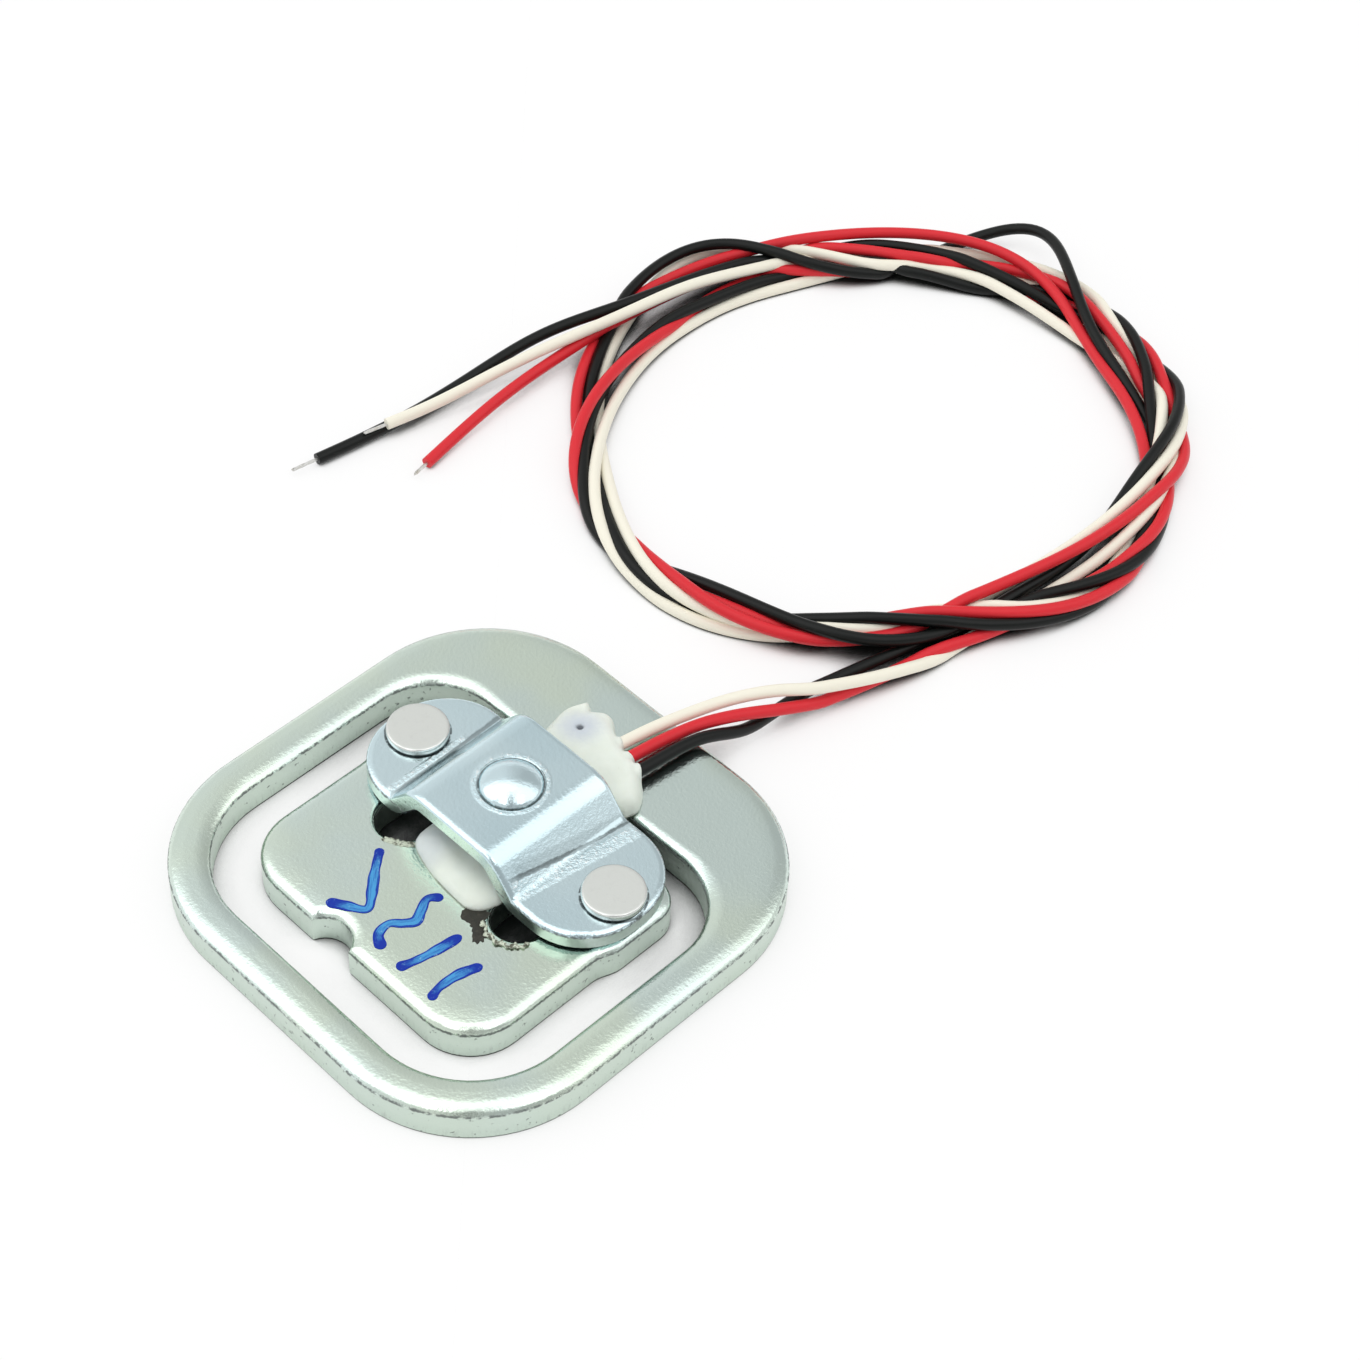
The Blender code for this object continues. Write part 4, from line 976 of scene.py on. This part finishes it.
# %% Outline and rules of the mound
SEAL_OUTLINE = [
    (-2.6, 3.3), (-3.3, 1.5), (-3.6, -0.2), (-3.7, -1.7), (-3.7, -2.7), (-3.2, -3.5),
    (-2.3, -3.9), (-1.4, -4.0), (1.0, -3.5), (5.0, -3.4), (9.1, -4.5), (10.0, -4.45),
    (10.8, -3.9), (11.4, -3.2), (11.9, -2.5), (12.1, -1.8), (12.2, -1.0), (12.5, -0.3),
    (12.8, 0.4), (13.1, 1.0), (13.5, 1.5), (13.8, 2.0), (13.7, 2.6), (13.4, 3.0),
    (13.2, 3.4), (13.5, 3.8), (13.6, 4.2), (13.1, 4.5), (12.4, 4.75), (11.6, 4.75),
    (10.8, 4.6), (8.6, 4.1), (5.0, 3.4), (1.0, 3.5), (-1.2, 3.7),
]
SEAL_GRID = 0.17
SEAL_RISE = (-1.2, 2.6)
SEAL_TOP = (3.6, 4.15)
SEAL_RIM = (1.7, 1.1)
SEAL_UNDER = 0.01
SEAL_LIP = 0.12
BUBBLE_RADIUS, BUBBLE_DEPTH = 0.30, 0.35
# middle, width and height of each lump or dent
LUMPS = [
    (12.6, 3.9, 1.3, -0.55), (13.2, 2.0, 0.9, -0.30), (11.2, 3.6, 1.2, -0.15), (11.4, 0.9, 1.2, 0.10),
    (10.2, -3.0, 1.5, 0.15), (9.4, 1.6, 1.6, 0.12), (-1.8, 1.6, 1.6, 0.14), (-2.4, -1.9, 1.4, 0.10),
    (-1.0, -0.2, 1.3, -0.12), (11.8, -2.2, 0.6, 0.12),
]
COLLAR = 0.12
COLLAR_RUN = (9.5, 13.5)
FINE_STEP = 0.02


def closed_curve(points, step):
    """Evenly spaced points on a smooth closed curve through the given ones."""
    wrapped = [(*p, 0.0) for p in [*points[-3:], *points, *points[:4]]]
    fine = smooth_route(wrapped, FINE_STEP)[:, :2]
    half = len(fine) // 2
    from_first = np.linalg.norm(fine - points[0], axis=1)
    loop = fine[int(from_first[:half].argmin()):half + int(from_first[half:].argmin())]
    return spread(loop, round(distances(loop)[-1] / step) + 1)[:-1]


def edge_distance(points, outline):
    """Distance of each point from a closed outline."""
    a, b = outline[None], np.roll(outline, -1, axis=0)[None]
    p = points[:, None]
    share = ((p - a) * (b - a)).sum(axis=2) / ((b - a) ** 2).sum(axis=2)
    nearest = a + np.clip(share, 0, 1)[..., None] * (b - a)
    return np.linalg.norm(p - nearest, axis=2).min(axis=1)


def seal_height(points, outline):
    """Upper surface of the sealant over the plate, in millimetres."""
    x, y = points.T
    share = np.clip((x - SEAL_RISE[0]) / SEAL_RISE[1], 0, 1)
    share = share * share * (3 - 2 * share)
    top = SEAL_TOP[0] + (SEAL_TOP[1] - SEAL_TOP[0]) * share
    for lump_x, lump_y, width, height in LUMPS:
        top = top + height * np.exp(-((x - lump_x) ** 2 + (y - lump_y) ** 2) / (0.5 * width**2))
    rim = SEAL_RIM[0] + (SEAL_RIM[1] - SEAL_RIM[0]) * share
    inward = np.clip(edge_distance(points, outline) / rim, 0, 1)
    lip = PLATE_THICK + SEAL_LIP
    level = lip + (top - lip) * np.sqrt(1 - (1 - inward) ** 2)
    reach = WIRE_DIAMETER / 2 + COLLAR
    for line in centre_lines.values():
        near = line[(line[:, 0] > COLLAR_RUN[0]) & (line[:, 0] < COLLAR_RUN[1])]
        gaps = np.linalg.norm(points[:, None] - near[None, :, :2], axis=2)
        gap = gaps.min(axis=1)
        over = near[gaps.argmin(axis=1), 2] + np.sqrt(np.clip(reach**2 - gap**2, 0, None))
        level = np.where(gap < reach, np.maximum(level, over), level)
    from_bubble = (x - BUBBLE_PLACE[0]) ** 2 + (y - BUBBLE_PLACE[1]) ** 2
    return level - BUBBLE_DEPTH * np.sqrt(np.clip(1 - from_bubble / BUBBLE_RADIUS**2, 0, 1))


# %% The mound as a mesh
ONLY_INSIDE = 1
SAME_SPOT = 1e-6


def triangles_inside(outline, grid):
    """Points and triangles that fill an outline evenly; the outline's points come first."""
    low, high = outline.min(axis=0), outline.max(axis=0)
    rows = np.arange(low[1], high[1], grid * math.sqrt(0.75))
    lattice = np.array([(x + (k % 2) * grid / 2, y) for k, y in enumerate(rows)
                        for x in np.arange(low[0], high[0], grid)])
    crossed = np.zeros(len(lattice), dtype=int)
    for (x0, y0), (x1, y1) in zip(outline, np.roll(outline, -1, axis=0)):
        if y0 != y1:
            spans = (lattice[:, 1] >= y0) != (lattice[:, 1] >= y1)
            crossed += spans & (lattice[:, 0] < x0 + (lattice[:, 1] - y0) / (y1 - y0) * (x1 - x0))
    lattice = lattice[crossed % 2 == 1]
    lattice = lattice[edge_distance(lattice, outline) > grid * 0.5]
    flat = np.vstack([outline, lattice])
    count = len(outline)
    rim = [(k, (k + 1) % count) for k in range(count)]
    spots = [Vector(p) for p in flat]
    filled = delaunay_2d_cdt(spots, rim, [list(range(count))], ONLY_INSIDE, SAME_SPOT)
    return np.array([tuple(v) for v in filled[0]]), filled[2]


def slab(name, plan, triangles, tops, foot, finish):
    """Closed solid over a flat plan, with its own height at each point."""
    form = bmesh.new()
    upper = [form.verts.new((x * MM, y * MM, z * MM)) for (x, y), z in zip(plan, tops)]
    lower = [form.verts.new((x * MM, y * MM, foot * MM)) for x, y in plan]
    for a, b, c in triangles:
        form.faces.new((upper[a], upper[b], upper[c]))
        form.faces.new((lower[c], lower[b], lower[a]))
    twin = dict(zip(upper, lower))
    for edge in [e for e in form.edges if e.is_boundary and e.verts[0] in twin]:
        a, b = edge.verts
        form.faces.new((a, b, twin[b], twin[a]))
    bmesh.ops.recalc_face_normals(form, faces=form.faces)
    return smooth_piece(name, form, finish, sharp_angle=70)


seal_outline = closed_curve(SEAL_OUTLINE, SEAL_GRID)
seal_plan, seal_triangles = triangles_inside(seal_outline, SEAL_GRID)
seal_tops = seal_height(seal_plan, seal_outline)
seal = slab("sealant_mound", seal_plan, seal_triangles, seal_tops, PLATE_THICK + SEAL_UNDER, seal_finish)
ease = seal.modifiers.new("sagged", "SMOOTH")
ease.factor = 0.5
ease.iterations = 2
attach(seal, "root")
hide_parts("sealant")
print("sealant", len(seal.data.polygons), "faces, highest", round(float(seal_tops.max()), 2), "mm")

# %% [markdown]
# ## Marks of the workshop
#
# Someone checked this cell by hand and left a few strokes of a blue pen on its tongue. Ink
# dries darker at the rim of a stroke and thin in its middle, so each stroke is a ribbon that
# keeps its own UV map: u is the distance from the nearer end and v runs across the stroke.


# %% Blue ink
def ink_finish():
    finish = new_finish("blue_ink")
    place = finish.node("TexCoord", out="UV")
    from_end, across = (place.axis(letter) for letter in "XY")
    stretched = finish.node("Mapping", {"Vector": place, "Scale": (0.7, 8.0, 1.0)})
    fibres = finish.noise(stretched, 1.0, 4.0, 0.7)
    blots = finish.noise(finish.millimetres(), 0.35, 4.0, 0.7)
    rim = (abs(across - 0.5) + fibres.wobble(0.3)).between(0.24, 0.42)
    pooled = 1 - (from_end + blots.wobble(1.6)).between(0.3, 1.9)
    dark = (rim + pooled + fibres.between(0.48, 0.64) * 0.8).limited(0.0, 1.0)
    colour = finish.coats(
        (0.07, 0.36, 0.72), (dark, (0.002, 0.030, 0.38)),
        (blots.between(0.60, 0.72) * 0.5, (0.40, 0.62, 0.74)))
    return finish.surface(
        Base_Color=colour, Metallic=0.35, Roughness=0.28 + fibres * 0.2, Specular_IOR_Level=0.4)


INK_WIDTH = 0.80
INK_THICK = 0.008
INK_LIFT = 0.012
INK_STEP = 0.08
INK_ROWS = 7
INK_STROKES = [
    [(-9.7, 3.7), (-9.0, 2.6), (-8.2, 1.5), (-7.1, 2.3), (-5.9, 3.4), (-4.4, 4.6)],
    [(-9.6, -1.5), (-9.0, -0.5), (-8.0, -0.3), (-7.3, -0.9), (-6.6, -1.3), (-5.8, -0.9),
     (-4.9, -0.5), (-4.1, -1.1)],
    [(-9.9, -3.2), (-8.6, -3.6), (-7.0, -3.9), (-5.3, -4.1)],
    [(-10.0, -6.4), (-8.9, -6.1), (-7.4, -6.2), (-5.9, -6.7)],
]


def ink_stroke(form, layer, points, number):
    """Add a ribbon on the plate, with rounded ends and a wavering width."""
    line = smooth_route([(x, y, 0.0) for x, y in points], INK_STEP)[:, :2]
    along = distances(line)
    ahead = np.gradient(line, axis=0)
    ahead /= np.linalg.norm(ahead, axis=1)[:, None]
    sideways = np.stack([-ahead[:, 1], ahead[:, 0]], axis=1)
    from_end = np.minimum(along, along[-1] - along)
    cap = np.sqrt(1 - np.clip(1 - from_end / (INK_WIDTH / 2), 0, 0.98) ** 2)
    waver = 0.86 + 0.12 * np.sin(along * 1.7 + number) + 0.04 * np.sin(along * 5.1)
    half = INK_WIDTH / 2 * cap * waver
    shares = np.linspace(-1, 1, INK_ROWS)
    height = (PLATE_THICK + INK_LIFT) * MM
    rows = []
    for k in range(len(line)):
        spots = line[k] + sideways[k] * (shares * half[k])[:, None]
        rows.append([form.verts.new((x * MM, y * MM, height)) for x, y in spots])
    for k in range(len(rows) - 1):
        for j in range(INK_ROWS - 1):
            corners = ((k, j), (k + 1, j), (k + 1, j + 1), (k, j + 1))
            face = form.faces.new([rows[row][column] for row, column in corners])
            for loop, (row, column) in zip(face.loops, corners):
                loop[layer].uv = (from_end[row], (shares[column] + 1) / 2)


# %% Four strokes on the tongue
form = bmesh.new()
layer = form.loops.layers.uv.new("stroke")
for number, stroke in enumerate(INK_STROKES):
    ink_stroke(form, layer, stroke, number)
form.normal_update()
bmesh.ops.reverse_faces(form, faces=[face for face in form.faces if face.normal.z < 0])
ink_mesh = bpy.data.meshes.new("ink_marks")
form.to_mesh(ink_mesh)
form.free()
ink_mesh.materials.append(ink_finish())
ink = placed("ink_marks", ink_mesh)
film = ink.modifiers.new("film", "SOLIDIFY")
film.thickness = INK_THICK * MM
film.offset = 1.0
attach(ink, "root")
print("ink", len(ink_mesh.polygons), "faces in", len(INK_STROKES), "strokes")

# %% [markdown]
# Flux and adhesive were spilt beside the right slot and went dark brown. A crumpled ring of
# it hangs round the slot's mouth, and a few crumbs lie by the left slot. The stain and the
# crumbs are thin slabs over outlines, like the sealant, with a rougher height. The ring is a
# tube whose walls swell and shrink.

# %% Spilt flux
STAIN_OUTLINE = [
    (-4.39, -3.05), (-3.88, -2.67), (-3.45, -2.86), (-3.05, -3.4), (-2.8, -4.01), (-3.36, -4.24),
    (-3.87, -4.62), (-4.1, -5.15), (-4.69, -5.33), (-5.1, -4.95), (-4.52, -4.22), (-4.31, -3.7),
]
CRUMBS_OUTLINE = [
    (-3.9, 5.0), (-3.6, 4.3), (-3.3, 3.75), (-2.75, 3.2), (-2.5, 3.5), (-2.9, 3.95), (-3.2, 4.5),
    (-3.6, 5.1),
]
PATCH_RIM_STEP = 0.12
PATCH_GRID = 0.15
PATCH_FADE = 0.25


def flux_finish(name, dark, light, low, high):
    finish = new_finish(name)
    place = finish.millimetres()
    crust = finish.noise(place, 0.35, 5.0, 0.7)
    fine = finish.noise(place, 0.1, 3.0, 0.6)
    colour = finish.coats(dark, (crust.between(low, high), light))
    return finish.surface(
        Base_Color=colour, Roughness=0.42 + crust * 0.3, Normal=finish.bump(crust + fine * 0.4, 0.05))


def rough_patch(name, outline, lift, finish):
    """A thin slab on the plate whose rim and surface are uneven."""
    rim = closed_curve(outline, PATCH_RIM_STEP)
    turn = np.arange(len(rim))
    out = rim - rim.mean(axis=0)
    nibbled = 0.07 * np.sin(turn * 1.9) + 0.05 * np.sin(turn * 4.3)
    rim = rim + out / np.linalg.norm(out, axis=1)[:, None] * nibbled[:, None]
    plan, triangles = triangles_inside(rim, PATCH_GRID)
    x, y = plan.T
    ripple = np.sin(x * 9.0 + 2.0 * np.sin(y * 5.0)) * np.sin(y * 8.0)
    fade = np.clip(edge_distance(plan, rim) / PATCH_FADE, 0.15, 1)
    tops = PLATE_THICK + INK_LIFT + lift * fade * (0.7 + 0.3 * ripple)
    patch = slab(name, plan, triangles, tops, PLATE_THICK + INK_LIFT / 2, finish)
    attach(patch, "root")
    print(name, len(patch.data.polygons), "faces")


brown_flux = flux_finish("burnt_flux", (0.018, 0.017, 0.011), (0.055, 0.050, 0.036), 0.45, 0.75)
pale_flux = flux_finish("dry_flux", (0.10, 0.10, 0.07), (0.62, 0.68, 0.55), 0.40, 0.56)
rough_patch("burnt_flux", STAIN_OUTLINE, 0.05, brown_flux)
rough_patch("flux_crumbs", CRUMBS_OUTLINE, 0.10, pale_flux)

# %% Crumpled ring at the mouth of the right slot
RING_MIDDLE = (-2.1, -5.6)
RING_RADIUS = 2.0
RING_ANGLES = (135, 255)
RING_STEPS = 90
RING_SIDES = 12
RING_WIDTH = 0.16
RING_HEIGHT = 0.12
RING_LIFT = 0.10


def crumpled_ring():
    """A third of a ring of folded residue, thick and thin by turns."""
    form = bmesh.new()
    rows = []
    for k, turn in enumerate(np.radians(np.linspace(*RING_ANGLES, RING_STEPS))):
        ending = min(1.0, math.sin(math.pi * k / (RING_STEPS - 1)) * 4 + 0.08)
        width = (RING_WIDTH + 0.05 * math.sin(k * 0.31) + 0.03 * math.sin(k * 0.83)) * ending
        height = (RING_HEIGHT + 0.03 * math.sin(k * 0.47 + 1)) * ending
        radius = RING_RADIUS + 0.08 * math.sin(k * 0.35) + 0.04 * math.sin(k * 0.9)
        row = []
        for section in np.linspace(0, 2 * math.pi, RING_SIDES, endpoint=False):
            fold = 1 + 0.12 * math.sin(2 * section + k * 0.3)
            reach = radius + width * fold * math.cos(section)
            x = RING_MIDDLE[0] + reach * math.cos(turn)
            y = RING_MIDDLE[1] + reach * math.sin(turn)
            z = PLATE_THICK + RING_LIFT + height * fold * math.sin(section)
            row.append(form.verts.new((x * MM, y * MM, z * MM)))
        rows.append(row)
    for low, high in zip(rows, rows[1:]):
        for j in range(RING_SIDES):
            following = (j + 1) % RING_SIDES
            form.faces.new((low[j], low[following], high[following], high[j]))
    form.faces.new(rows[0])
    form.faces.new(rows[-1])
    bmesh.ops.recalc_face_normals(form, faces=form.faces)
    return form


ring = smooth_piece("flux_ring", crumpled_ring(), pale_flux, sharp_angle=180)
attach(ring, "root")
print("ring", len(ring.data.polygons), "faces")

# %% [markdown]
# Gauge, solder joints and stripped wires are hidden under the sealant, but they are real
# pieces and get their own finishes: amber film, a grey etched foil, bright solder and the
# same tin as the bare ends.


# %% Hidden pieces
def film_finish():
    finish = new_finish("amber_film")
    place = finish.millimetres()
    cloud = finish.noise(place, 1.5, 3.0)
    dots = finish.noise(place, 0.2, 4.0, 0.7)
    colour = finish.coats((0.42, 0.17, 0.03), (cloud * 0.7 + dots * 0.3, (0.55, 0.26, 0.06)))
    return finish.surface(Base_Color=colour, Roughness=0.3 + dots * 0.1, Normal=finish.bump(dots, 0.004))


def metal_finish(name, dark, light, size, roughness, depth):
    finish = new_finish(name)
    place = finish.millimetres()
    cloud = finish.noise(place, size, 5.0, 0.7)
    colour = finish.coats(dark, (cloud.between(0.35, 0.7), light))
    return finish.surface(
        Base_Color=colour, Metallic=1.0, Roughness=roughness + cloud * 0.2, Normal=finish.bump(cloud, depth))


film_amber = film_finish()
foil = metal_finish("etched_foil", (0.42, 0.40, 0.36), (0.58, 0.55, 0.48), 0.12, 0.25, 0.003)
solder = metal_finish("bright_solder", (0.55, 0.56, 0.56), (0.75, 0.76, 0.77), 0.3, 0.15, 0.02)
hidden = {"gauge_film": film_amber, "gauge_grid": foil, "solder": solder, "wire_core": tin}
for node in frame["nodes"].values():
    for start, finish in hidden.items():
        if node.name.startswith(start):
            node.data.materials.clear()
            node.data.materials.append(finish)
            print(node.name, "is finished in", finish.name)
